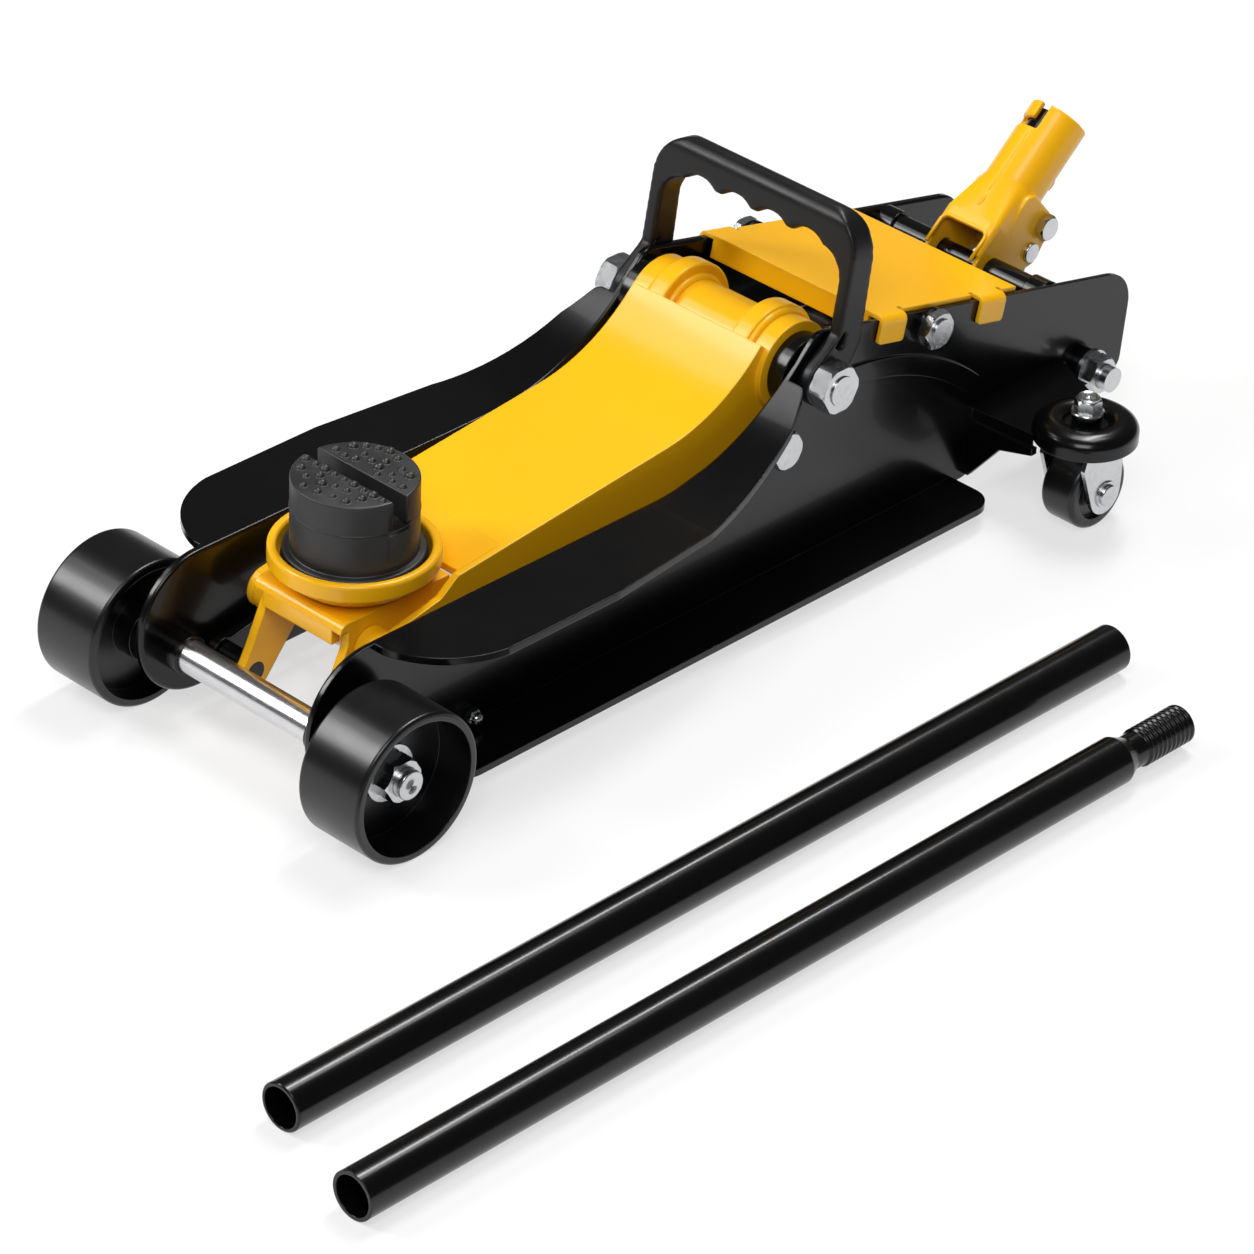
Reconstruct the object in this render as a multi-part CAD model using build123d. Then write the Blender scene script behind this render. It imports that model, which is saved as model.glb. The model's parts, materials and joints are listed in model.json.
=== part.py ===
"""Low-profile hydraulic trolley jack with its two-piece handle, one solid for each piece."""

import os
from math import asin, atan2, cos, hypot, pi, radians, sin, sqrt, tan

from build123d import *

# Driving dimensions, in millimetres and degrees.
# The floor is Z 0, the front axle stands close to X 0, the handle end is +X and the centre plane is Y 0.
# Right is +Y and left is -Y, as seen by someone who holds the handle.

# Fits and fasteners
RUNNING_FIT = 0.05
END_PLAY = 0.4
BOLT_FIT = 0.2
NUT_CHAMFER = 1.2
EDGE_BREAK = 0.6

# Front wheels and axle
AXLE_X = -1.5
WHEEL_RADIUS = 40.0
WHEEL_WIDTH = 41.0
WHEEL_RIM = 4.5
WHEEL_WEB = 7.0
WHEEL_RECESS = 22.0
WHEEL_HUB_RADIUS = 15.0
WHEEL_EDGE_ROUND = 2.0
WHEEL_GAP = 12.0
AXLE_RADIUS = 8.5
AXLE_THREAD_RADIUS = 7.8
AXLE_COLLAR_RADIUS = 10.3
AXLE_COLLAR_LENGTH = 12.0
AXLE_WASHER_RADIUS = 15.0
AXLE_WASHER_THICK = 2.5
AXLE_NUT_ACROSS = 21.0
AXLE_NUT_THICK = 10.0
AXLE_END_SHOWS = 4.0

# Side plates
PLATE_ARM_ROOM = 13.0
PLATE_THICK = 4.0
PLATE_TOP_Z = 88.0
PLATE_BOTTOM_Z = 10.0
PLATE_NOSE_X = 16.0
RISE_BEFORE_PIVOT = 112.0
RISE_RADIUS = 140.0
RISE_ANGLE = 45.0
HUMP_OVER_PIVOT = 25.5
HUMP_ROUND = 12.0
TOP_SLOPE = 12.6
REAR_BEHIND_PIVOT = 254.0
REAR_SLANT = 6.0
REAR_ROUND = 22.0
REAR_BOTTOM_Z = 28.0
STEP_BEFORE_REAR = 128.0
STEP_RUN = 18.0
STEP_ROUND = 10.0
BEND_ROUND = 1.8

# Outward flanges of the side plates
FLANGE_FRONT_X = 20.0
FLANGE_REACH = 46.0
FLANGE_SHOULDER = 60.0
FLANGE_WAIST_REACH = 38.0
FLANGE_TOP_REACH = 20.0
FLANGE_TIP_REACH = 11.0
FLANGE_TIP_ROUND = 6.0
FLANGE_END_BEFORE_PIVOT = 19.0
FOOT_FLANGE_REACH = 32.0
FOOT_FLANGE_FRONT_X = 48.0
FOOT_FLANGE_REAR_GAP = 12.0
FOOT_FLANGE_ROUND = 14.0
RIB_HEIGHT = 1.6
RIB_WIDTH = 11.0
RIB_FROM_PIVOT = ((22.0, -10.0), (76.0, -21.5), (126.0, -52.0))

# Main pivot and lift arm
PIVOT_X = 326.0
PIVOT_Z = 118.0
SHAFT_RADIUS = 12.0
SHAFT_THREAD_RADIUS = 8.0
SHAFT_END_SHOWS = 1.0
PIVOT_NUT_ACROSS = 24.0
PIVOT_NUT_THICK = 11.0
PIVOT_SPACER_RADIUS = 20.0
ARM_WIDTH = 90.0
ARM_WALL = 4.0
ARM_FRONT_RUN = 46.0
ARM_FRONT_RISE = 26.5
ARM_BEND_RADIUS = 104.0
ARM_END_ANGLE = 48.0
ARM_END_BACK = 22.0
ARM_END_RISE = 19.3
ARM_NOSE_RADIUS = 11.0
ARM_STEP_RUN = 11.0
ARM_STEP_DROP = 8.5
ARM_STEP_ROUND = 5.0
ARM_CREASE_X = 125.0
ARM_TRAY_X = 103.0
ARM_TRAY_Z = 82.0
ARM_LUG_RADIUS = 29.0
ARM_LUG_INNER = 24.0
ARM_LUG_WIDTH = 11.0
ARM_COLLAR_RADIUS = 25.0
ARM_COLLAR_OVER = 3.0
ARM_TUBE_RADIUS = 21.0
HORN_LENGTH = 45.0
HORN_HALF_SWING = 29.0
HORN_RADIUS = 15.0
HORN_PIN_RADIUS = 7.0
ROLLER_RADIUS = 11.0
ROLLER_WIDTH = 28.0

# Saddle
SADDLE_PIN_X = 46.0
SADDLE_PIN_Z = 62.0
SADDLE_PIN_RADIUS = 7.0
SADDLE_AHEAD = 19.0
YOKE_ARM_ROOM = 10.0
YOKE_WALL = 5.0
YOKE_PLATE_RISE = 13.0
YOKE_FRONT_RUN = 19.0
YOKE_REAR_RUN = 54.0
YOKE_LIP_DROP = 8.0
YOKE_LIP_GAP = 1.5
YOKE_EYE_RADIUS = 13.0
CUP_RADIUS = 43.0
CUP_BASE_RADIUS = 31.0
CUP_HEIGHT = 19.0
CUP_BAND = 9.0
CUP_WALL = 5.0
CUP_FLOOR = 6.0
CUP_STEM_RADIUS = 9.0
CUP_STEM_BELOW = 6.0
RETAINER_RADIUS = 13.0
RETAINER_THICK = 2.0
PAD_RADIUS = 32.0
PAD_TOP_Z = 137.0
PAD_FOOT_RADIUS = 36.5
PAD_FOOT_THICK = 7.0
PAD_SLOT_WIDTH = 9.0
PAD_SLOT_DEPTH = 15.0
PAD_NOTCH_WIDTH = 14.0
PAD_NOTCH_DROP = 4.0

# Levelling links
LINK_BACK = 22.0
LINK_BELOW = 33.0
LINK_THICK = 5.0
LINK_HALF_DEPTH = 7.0
LINK_EYE_RADIUS = 9.5
LINK_PIN_RADIUS = 5.5
LINK_PIN_SHOULDER = 7.1
LINK_PIN_PLAY = 0.4
LINK_BOLT_ACROSS = 19.0
LINK_BOLT_HEAD = 6.0

# Hydraulic unit
RAM_RADIUS = 12.0
RAM_HEAD_RADIUS = 17.0
RAM_HEAD_THICK = 10.0
RAM_HEAD_GAP = 0.7
GLAND_RADIUS = 24.0
GLAND_LENGTH = 14.0
GLAND_BEHIND_HEAD = 14.0
CYLINDER_RADIUS = 27.0
CYLINDER_BORE = 18.0
CYLINDER_LENGTH = 76.0
BLOCK_HALF_WIDTH = 36.0
BLOCK_HEAD_LENGTH = 20.0
BLOCK_TAIL_LENGTH = 85.0
BLOCK_BOTTOM_Z = 16.0
BLOCK_TAIL_TOP_Z = 46.0
BLOCK_ROUND = 3.0
PLUG_RADIUS = 6.0
PLUG_HEIGHT = 4.0

# Pump and release valve
PLUNGER_RADIUS = 6.5
PLUNGER_HEAD_RADIUS = 13.2
PLUNGER_HEAD_THICK = 6.0
PLUNGER_GAP = 0.6
PLUNGER_LENGTH = 50.0
PUMP_BARREL_RADIUS = 9.4
PUMP_BARREL_RISE = 16.0
PUMP_BORE_DEPTH = 27.0
PUMP_SPRING_RADIUS = 11.3
PUMP_SPRING_WIRE = 1.0
PUMP_SPRING_TURNS = 6
VALVE_RADIUS = 6.0
VALVE_HEAD_RADIUS = 9.0
VALVE_HEAD_LENGTH = 9.0
VALVE_REACH = 14.0
VALVE_Z = 29.0
VALVE_SLOT = 3.0

# Handle socket
SOCKET_ANGLE = 41.0
SOCKET_PIVOT_BEHIND = 187.5
SOCKET_PIVOT_DROP = 25.5
SOCKET_BORE = 13.0
SOCKET_WALL = 3.8
SOCKET_TOP = 93.0
SOCKET_TUBE = 46.0
SOCKET_BOX_TOP = 20.0
SOCKET_EYE_RADIUS = 15.0
SOCKET_HALF_WIDTH = 18.0
SOCKET_HALF_DEPTH = 18.0
SOCKET_BOX_ROUND = 4.0
SOCKET_BOX_WALL = 2.6
SOCKET_WINDOW_LENGTH = 26.0
SOCKET_WINDOW_ROUND = 4.0
SOCKET_SHAFT_RADIUS = 6.0
SOCKET_COLLAR_RADIUS = 9.5
SOCKET_COLLAR_LENGTH = 11.0
SOCKET_SLEEVE_RADIUS = 7.8
JAY_SLOT_WIDTH = 5.6
JAY_SLOT_DEPTH = 15.5
JAY_SLOT_SWEEP = 13.0
PUMP_ARM = 32.0
PUMP_ROLLER_RADIUS = 7.0
PUMP_EAR_RADIUS = 8.5
PUMP_PIN_RADIUS = 4.0
PUMP_PIN_HEAD = 5.6
LOCK_BOLT_ALONG = 39.5
LOCK_BOLT_BELOW = 17.6
LOCK_BOLT_RADIUS = 4.0
LOCK_BOLT_ACROSS = 13.0
LOCK_BOLT_HEAD = 5.5
LOCK_LUG_RADIUS = 8.0
CLAMP_EAR_ALONG = 62.0
CLAMP_EAR_BELOW = 14.0
CLAMP_EAR_RADIUS = 6.0
CLAMP_EAR_HALF_WIDTH = 8.0

# Tie rods
TIE_BEHIND_PIVOT = 87.0
TIE_BELOW_EDGE = 8.5
TIE_RADIUS = 7.0
TIE_BUSH_RADIUS = 10.5
TIE_BUSH_LENGTH = 3.0
TIE_NUT_ACROSS = 19.0
TIE_NUT_THICK = 6.0
TIE_END_SHOWS = 1.5
REAR_BOLT_BEFORE_REAR = 38.0
REAR_BOLT_Z = 43.0
REAR_BOLT_RADIUS = 7.0
REAR_BOLT_DEPTH = 14.0
REAR_BUSH_LENGTH = 6.0
REAR_NUT_THICK = 8.0
REAR_WASHER_RADIUS = 12.0
REAR_WASHER_THICK = 2.5
REAR_END_SHOWS = 6.0
BLOCK_SPACER_RADIUS = 12.0
FRONT_TIE_X = 85.0
FRONT_TIE_Z = 19.5
FRONT_TIE_RADIUS = 2.6
FRONT_NUT_ACROSS = 8.0
FRONT_NUT_THICK = 5.0

# Cover plate
COVER_THICK = 2.5
COVER_BEHIND_PIVOT = 48.0
COVER_LENGTH = 114.0
COVER_LIP = 10.0
COVER_INSET = 3.0
TAB_WIDTH = 19.5
TAB_ROUND = 2.0
TAB_BEND = 4.2
TAB_RELIEF = 3.0
TAB_DROP = 12.5
TAB_SPACING = 80.5

# Carry handle
CARRY_LEAN = 9.0
CARRY_HEIGHT = 87.5
CARRY_LUG_RADIUS = 13.5
CARRY_KNEE = (14.0, 20.5)
CARRY_KNEE_RADIUS = 9.0
CARRY_TOP_BACK = 13.5
CARRY_TOP_RADIUS = 7.8
CARRY_LEG_THICK = 8.0
CARRY_GRIP_DEPTH = 21.0
CARRY_OUTER_ROUND = 24.0
CARRY_INNER_ROUND = 16.0
CARRY_FINGERS = 4
CARRY_FINGER_PITCH = 25.0
CARRY_FINGER_RADIUS = 13.0
CARRY_FINGER_DEPTH = 4.5
CARRY_WINDOW = ((3.0, 17.5), (9.5, 17.0), (11.0, 29.0))
CARRY_WINDOW_ROUND = 1.0

# Rear casters
CASTER_BEHIND_PIVOT = 149.0
CASTER_OUT = 60.0
CASTER_TRAIL = 1.5
CASTER_WHEEL_RADIUS = 22.0
CASTER_WHEEL_WIDTH = 22.0
CASTER_HUB_RADIUS = 9.0
CASTER_DISH = 3.0
CASTER_AXLE_RADIUS = 4.0
CASTER_AXLE_HEAD = 6.0
FORK_WALL = 2.5
FORK_GAP = 2.0
FORK_EAR_RADIUS = 11.5
FORK_EAR_CORNER = 3.0
FORK_EAR_SPOTS = ((-16.0, 20.0), (-14.5, 25.0), (9.0, 7.0), (9.0, 25.0))
FORK_DECK_RADIUS = 23.0
FORK_DECK_Z = 48.0
KINGPIN_RADIUS = 4.0
KINGPIN_HEAD_RADIUS = 8.0
KINGPIN_HEAD_THICK = 2.0
DOME_RADIUS = 28.0
DOME_BAND = 5.5
DOME_CREST_RADIUS = 18.0
DOME_HEIGHT = 12.5
DOME_WELL_RADIUS = 11.5
DOME_WELL_DEPTH = 4.5
DOME_BOSS_RADIUS = 8.0
DOME_BOSS_RISE = 2.5
BRACKET_DECK = 7.0
BRACKET_DECK_RISE = 3.0
BRACKET_FRONT_RUN = 26.0
BRACKET_REAR_RUN = 49.0
BRACKET_FOOT_Z = 32.0
BRACKET_SKIRT_RUN = 20.0
BRACKET_GUSSET_Z = 13.0
BRACKET_GUSSET_RUN = 46.0
BRACKET_GUSSET_END_Z = 43.0
BRACKET_KNEE_RUN = 24.0
BRACKET_KNEE_Z = 37.0
CASTER_NUT_ACROSS = 13.0
CASTER_NUT_THICK = 8.0

# Return springs
RETURN_SPRING_Y = 34.0
RETURN_SPRING_RADIUS = 4.4
RETURN_SPRING_WIRE = 0.9
RETURN_SPRING_TURNS = 22
SPRING_POST_RADIUS = 3.0

# Handle rods, laid on the floor beside the jack
ROD_RADIUS = 12.5
ROD_WALL = 2.0
ROD_FRONT_X = -196.0
ROD_LENGTH = 572.0
ROD_Y = -229.0
TIP_ROD_FRONT_X = -217.0
TIP_ROD_LENGTH = 514.0
TIP_ROD_Y = -298.0
TIP_SHOULDER = 8.0
TIP_NECK_RADIUS = 9.0
TIP_NECK_LENGTH = 8.0
TIP_RIB_RADIUS = 10.2
TIP_RIB_PITCH = 3.4
TIP_RIB_COUNT = 10

# Places that follow from the sizes
PLATE_GAP = ARM_WIDTH + 2 * PLATE_ARM_ROOM
PLATE_IN = PLATE_GAP / 2
PLATE_OUT = PLATE_IN + PLATE_THICK
WHEEL_IN = PLATE_OUT + WHEEL_GAP
WHEEL_OUT = WHEEL_IN + WHEEL_WIDTH
AXLE_Z = WHEEL_RADIUS
WEB_OUT = WHEEL_OUT - WHEEL_RECESS
SLOPE = tan(radians(TOP_SLOPE))
REAR_X = PIVOT_X + REAR_BEHIND_PIVOT
RISE_X = PIVOT_X - RISE_BEFORE_PIVOT
RISE_END_X = RISE_X + RISE_RADIUS * sin(radians(RISE_ANGLE))
RISE_END_Z = PLATE_TOP_Z + RISE_RADIUS * (1 - cos(radians(RISE_ANGLE)))
ARM_SIDE = ARM_WIDTH / 2
ARM_COLLAR_OUT = ARM_SIDE + ARM_COLLAR_OVER
HORN_X = PIVOT_X + HORN_LENGTH * sin(radians(HORN_HALF_SWING))
HORN_Z = PIVOT_Z - HORN_LENGTH * cos(radians(HORN_HALF_SWING))
RAM_Z = PIVOT_Z - HORN_LENGTH * (1 + cos(radians(HORN_HALF_SWING))) / 2
SADDLE_X = SADDLE_PIN_X + SADDLE_AHEAD
YOKE_WIDTH = ARM_WIDTH - 2 * (ARM_WALL + YOKE_ARM_ROOM)
YOKE_SIDE = YOKE_WIDTH / 2
YOKE_TOP_Z = SADDLE_PIN_Z + YOKE_PLATE_RISE + YOKE_WALL
CUP_BOTTOM_Z = YOKE_TOP_Z + END_PLAY
CUP_RIM_Z = CUP_BOTTOM_Z + CUP_HEIGHT
LINK_X = PIVOT_X - LINK_BACK
LINK_Z = PIVOT_Z - LINK_BELOW
LINK_PIN_X = SADDLE_PIN_X - LINK_BACK
LINK_PIN_Z = SADDLE_PIN_Z - LINK_BELOW
LINK_IN = ARM_COLLAR_OUT + END_PLAY
LINK_OUT = LINK_IN + LINK_THICK
RAM_FACE_X = HORN_X + ROLLER_RADIUS + RAM_HEAD_GAP
GLAND_X = RAM_FACE_X + RAM_HEAD_THICK + GLAND_BEHIND_HEAD
CYLINDER_X = GLAND_X + GLAND_LENGTH
BLOCK_X = CYLINDER_X + CYLINDER_LENGTH
BLOCK_TAIL_X = BLOCK_X + BLOCK_HEAD_LENGTH
BLOCK_REAR_X = BLOCK_TAIL_X + BLOCK_TAIL_LENGTH
SOCKET_X = PIVOT_X + SOCKET_PIVOT_BEHIND
SOCKET_Z = PIVOT_Z - SOCKET_PIVOT_DROP
PLUNGER_X = SOCKET_X + PUMP_ARM
PLUNGER_TOP_Z = SOCKET_Z - PUMP_ROLLER_RADIUS - PLUNGER_GAP
PLUNGER_SEAT_Z = PLUNGER_TOP_Z - PLUNGER_HEAD_THICK
TIE_X = PIVOT_X + TIE_BEHIND_PIVOT
REAR_BOLT_X = REAR_X - REAR_BOLT_BEFORE_REAR
COVER_X = PIVOT_X + COVER_BEHIND_PIVOT
CASTER_X = PIVOT_X + CASTER_BEHIND_PIVOT
CASTER_Y = PLATE_OUT + CASTER_OUT
CASTER_WHEEL_X = CASTER_X + CASTER_TRAIL
FORK_INNER = CASTER_WHEEL_WIDTH / 2 + FORK_GAP
FORK_OUTER = FORK_INNER + FORK_WALL
DOME_Z = FORK_DECK_Z + FORK_WALL + END_PLAY


def top_edge_z(x):
    """Height of the sloping rear top edge of a side plate."""
    return PIVOT_Z + HUMP_OVER_PIVOT - SLOPE * (x - PIVOT_X)


TIE_Z = top_edge_z(TIE_X) - TIE_BELOW_EDGE


# Shared shapes
def slab(face, low, high):
    """Extrude a sketch drawn in X and Z from one Y to another."""
    return extrude(Plane.XZ.offset(-high) * face, amount=high - low)


def pin(x, z, radius, low, high):
    """Round bar along Y."""
    return slab(Pos(x, z) * Circle(radius), low, high)


def ring(x, z, outer, inner, low, high):
    """Round sleeve along Y."""
    return slab(Pos(x, z) * (Circle(outer) - Circle(inner)), low, high)


def bar_x(y, z, radius, low, high):
    """Round bar along X."""
    return extrude(Plane.YZ.offset(low) * Pos(y, z) * Circle(radius), amount=high - low)


def post(x, y, radius, low, high):
    """Round bar along Z."""
    return extrude(Plane.XY.offset(low) * Pos(x, y) * Circle(radius), amount=high - low)


def block(x_low, x_high, y_low, y_high, z_low, z_high):
    """Box between two corners."""
    face = Pos((x_low + x_high) / 2, (z_low + z_high) / 2) * Rectangle(x_high - x_low, z_high - z_low)
    return slab(face, y_low, y_high)


def left_of(shape):
    """The same piece on the left side."""
    return mirror(shape, about=Plane.XZ)


def pair(shape):
    """A right piece and its mirror image as two solids of one group."""
    return Compound([shape, left_of(shape)])


def hex_piece(x, z, across, low, high):
    """Hexagonal prism along Y with turned corners."""
    blank = pin(x, z, across / sqrt(3), low, high)
    blank = chamfer(blank.edges().filter_by(GeomType.CIRCLE), NUT_CHAMFER)
    flats = slab(Pos(x, z) * RegularPolygon(across / 2, 6, major_radius=False), low, high)
    return blank & flats


def nut(x, z, across, hole, low, high):
    """Hexagonal nut along Y."""
    return hex_piece(x, z, across, low, high) - pin(x, z, hole, low, high)


def near(face, x, z):
    """The corner of a flat sketch nearest to a point."""
    return face.vertices().sort_by_distance((x, z, 0))[0]


def capsule(x_one, z_one, radius_one, x_two, z_two, radius_two):
    """Two round ends joined by straight flanks, drawn in X and Z."""
    ends = Pos(x_one, z_one) * Circle(radius_one) + Pos(x_two, z_two) * Circle(radius_two)
    return make_hull(ends.edges())


def coil(start, axis, side, radius, wire, length, turns):
    """Helical spring of one unbroken wire, each quarter turn made of two tangent arcs."""
    axis = Vector(axis).normalized()
    side = Vector(side).normalized()
    across = axis.cross(side)
    quarters = 4 * turns
    rise = length / quarters

    def point(step):
        angle = step * pi / 2
        return Vector(start) + side * (radius * cos(angle)) + across * (radius * sin(angle)) + axis * (rise * step)

    def heading(step):
        angle = step * pi / 2
        turn = side * (-radius * sin(angle)) + across * (radius * cos(angle))
        return (turn * (pi / 2) + axis * rise).normalized()

    arcs = []
    for step in range(quarters):
        first, last = point(step), point(step + 1)
        leave, arrive = heading(step), heading(step + 1)
        chord = last - first
        along = chord.dot(leave + arrive)
        spread = 2 * (1 - leave.dot(arrive))
        reach = (sqrt(along * along + spread * chord.dot(chord)) - along) / spread
        middle = (first + last + (leave - arrive) * reach) * 0.5
        arcs.append(Edge.make_tangent_arc(first, leave, middle))
        arcs.append(Edge.make_tangent_arc(last, arrive * -1, middle))
    path = Wire(arcs)
    section = Plane(origin=point(0), z_dir=heading(0)) * Circle(wire)
    print("least gap between spring turns", round(length / turns - 2 * wire, 2))
    return sweep(section, path=path)


# Side plates
def plate_outline():
    """Outline of a side plate in X and Z."""
    rise = tan(radians(RISE_ANGLE))
    hump_x = (top_edge_z(0) - RISE_END_Z + rise * RISE_END_X) / (rise + SLOPE)
    hump_z = top_edge_z(hump_x)
    middle_z = (PLATE_TOP_Z + PLATE_BOTTOM_Z) / 2
    nose_radius = (PLATE_TOP_Z - PLATE_BOTTOM_Z) / 2
    foot_x = REAR_X - REAR_SLANT
    step_x = REAR_X - STEP_BEFORE_REAR
    corners = [
        (RISE_END_X, RISE_END_Z),
        (hump_x, hump_z),
        (REAR_X, top_edge_z(REAR_X)),
        (foot_x, REAR_BOTTOM_Z),
        (step_x + STEP_RUN, REAR_BOTTOM_Z),
        (step_x, PLATE_BOTTOM_Z),
        (PLATE_NOSE_X, PLATE_BOTTOM_Z),
    ]
    nose = ThreePointArc(corners[-1], (PLATE_NOSE_X - nose_radius, middle_z), (PLATE_NOSE_X, PLATE_TOP_Z))
    top = Line((PLATE_NOSE_X, PLATE_TOP_Z), (RISE_X, PLATE_TOP_Z))
    climb = CenterArc((RISE_X, PLATE_TOP_Z + RISE_RADIUS), RISE_RADIUS, 270, RISE_ANGLE)
    face = make_face([nose, top, climb] + Polyline(*corners).edges())
    face = fillet(near(face, hump_x, hump_z), HUMP_ROUND)
    face = fillet(near(face, *corners[2]), REAR_ROUND)
    for corner in corners[3:6]:
        face = fillet(near(face, *corner), STEP_ROUND)
    return face


def flange_band():
    """Edge-on view of the top flange, from the front to the hump."""
    centre = (RISE_X, PLATE_TOP_Z + RISE_RADIUS)
    outer = CenterArc(centre, RISE_RADIUS, 270, RISE_ANGLE)
    inner = CenterArc(centre, RISE_RADIUS + PLATE_THICK, 270, RISE_ANGLE)
    front = Polyline(
        inner @ 0,
        (FLANGE_FRONT_X, PLATE_TOP_Z - PLATE_THICK),
        (FLANGE_FRONT_X, PLATE_TOP_Z),
        outer @ 0,
    )
    return make_face([outer, inner, Line(outer @ 1, inner @ 1)] + front.edges())


def flange_plan():
    """Plan view of the top flange on the right side."""
    wide = PLATE_OUT + FLANGE_REACH
    root = PLATE_IN - 1
    shoulder_x = FLANGE_FRONT_X + FLANGE_SHOULDER
    knuckle = (FLANGE_FRONT_X + FLANGE_SHOULDER * 0.3, wide - FLANGE_REACH * 0.26)
    start = (FLANGE_FRONT_X, PLATE_OUT + FLANGE_REACH * 0.1)
    tip_x = PIVOT_X - FLANGE_END_BEFORE_PIVOT
    round_front = ThreePointArc(start, knuckle, (shoulder_x, wide))
    rest = Polyline(
        (shoulder_x, wide),
        (shoulder_x + FLANGE_SHOULDER, wide),
        (RISE_X, PLATE_OUT + FLANGE_WAIST_REACH),
        (RISE_END_X - 2 * HUMP_ROUND, PLATE_OUT + FLANGE_TOP_REACH),
        (tip_x, PLATE_OUT + FLANGE_TIP_REACH),
        (tip_x, root),
        (FLANGE_FRONT_X, root),
        start,
    )
    plan = make_face([round_front] + rest.edges())
    return fillet(near(plan, tip_x, PLATE_OUT + FLANGE_TIP_REACH), FLANGE_TIP_ROUND)


def side_plate():
    """Right side plate: web, top and foot flanges, raised rib and bolt holes."""
    web = slab(plate_outline(), PLATE_IN, PLATE_OUT)
    flange = slab(flange_band(), PLATE_IN, PLATE_OUT + FLANGE_REACH)
    plan = extrude(flange_plan(), amount=PIVOT_Z * 2)
    foot_rear = REAR_X - STEP_BEFORE_REAR - FOOT_FLANGE_REAR_GAP
    foot = block(
        FOOT_FLANGE_FRONT_X,
        foot_rear,
        PLATE_IN,
        PLATE_OUT + FOOT_FLANGE_REACH,
        PLATE_BOTTOM_Z,
        PLATE_BOTTOM_Z + PLATE_THICK,
    )
    outer_corners = foot.edges().filter_by(Axis.Z).group_by(Axis.Y)[-1]
    foot = fillet(outer_corners, FOOT_FLANGE_ROUND)
    plate = web + (flange & plan) + foot
    bend = plate.edges().filter_by_position(Axis.Y, PLATE_IN, PLATE_IN).sort_by(Axis.Z)[-1]
    plate = fillet(bend, BEND_ROUND)
    rib_arc = ThreePointArc(*[(PIVOT_X + x, PIVOT_Z + z) for x, z in RIB_FROM_PIVOT])
    rib = slab(trace(rib_arc, RIB_WIDTH), PLATE_OUT - RIB_HEIGHT, PLATE_OUT + RIB_HEIGHT)
    plate = plate + rib
    holes = [
        (AXLE_X, AXLE_Z, AXLE_RADIUS),
        (PIVOT_X, PIVOT_Z, SHAFT_RADIUS),
        (LINK_X, LINK_Z, LINK_PIN_RADIUS),
        (TIE_X, TIE_Z, TIE_RADIUS),
        (REAR_BOLT_X, REAR_BOLT_Z, REAR_BOLT_RADIUS),
        (FRONT_TIE_X, FRONT_TIE_Z, FRONT_TIE_RADIUS),
    ]
    for x, z, radius in holes:
        plate = plate - pin(x, z, radius + BOLT_FIT, PLATE_IN - 1, PLATE_OUT + RIB_HEIGHT + 1)
    return plate


# Front wheels and axle
def front_wheel():
    """Right front wheel: a drum with a deep outer dish, a web and a hub."""
    drum = pin(AXLE_X, AXLE_Z, WHEEL_RADIUS, WHEEL_IN, WHEEL_OUT)
    drum = fillet(drum.edges().filter_by(GeomType.CIRCLE), WHEEL_EDGE_ROUND)
    inside = WHEEL_RADIUS - WHEEL_RIM
    dish = pin(AXLE_X, AXLE_Z, inside, WEB_OUT, WHEEL_OUT)
    back = ring(AXLE_X, AXLE_Z, inside, WHEEL_HUB_RADIUS, WHEEL_IN, WEB_OUT - WHEEL_WEB)
    bore = pin(AXLE_X, AXLE_Z, AXLE_RADIUS + RUNNING_FIT, WHEEL_IN, WHEEL_OUT)
    return drum - dish - back - bore


def front_axle():
    """Bright axle across both plates with a threaded end at each wheel."""
    nut_out = WEB_OUT + 2 * END_PLAY + AXLE_WASHER_THICK + AXLE_NUT_THICK
    end = nut_out + AXLE_END_SHOWS
    shoulder = WEB_OUT + END_PLAY
    axle = pin(AXLE_X, AXLE_Z, AXLE_RADIUS, -shoulder, shoulder)
    axle = axle + pin(AXLE_X, AXLE_Z, AXLE_THREAD_RADIUS, -end, end)
    return chamfer(axle.edges().filter_by(GeomType.CIRCLE).group_by(Axis.Y)[0], EDGE_BREAK)


def axle_fasteners():
    """Washer and nut at each end of the axle."""
    washer_in = WEB_OUT + END_PLAY
    washer_out = washer_in + AXLE_WASHER_THICK
    hole = AXLE_THREAD_RADIUS + BOLT_FIT
    washer = ring(AXLE_X, AXLE_Z, AXLE_WASHER_RADIUS, hole, washer_in, washer_out)
    fixing = nut(AXLE_X, AXLE_Z, AXLE_NUT_ACROSS, hole, washer_out, washer_out + AXLE_NUT_THICK)
    return Compound([washer, fixing, left_of(washer), left_of(fixing)])


def axle_collars():
    """Black collars inside the plates and spacer sleeves between plates and wheels."""
    hole = AXLE_RADIUS + BOLT_FIT
    collar = ring(AXLE_X, AXLE_Z, AXLE_COLLAR_RADIUS, hole, PLATE_IN - AXLE_COLLAR_LENGTH, PLATE_IN)
    sleeve = ring(AXLE_X, AXLE_Z, AXLE_COLLAR_RADIUS, hole, PLATE_OUT, WHEEL_IN - END_PLAY)
    return Compound([collar, sleeve, left_of(collar), left_of(sleeve)])


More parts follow.
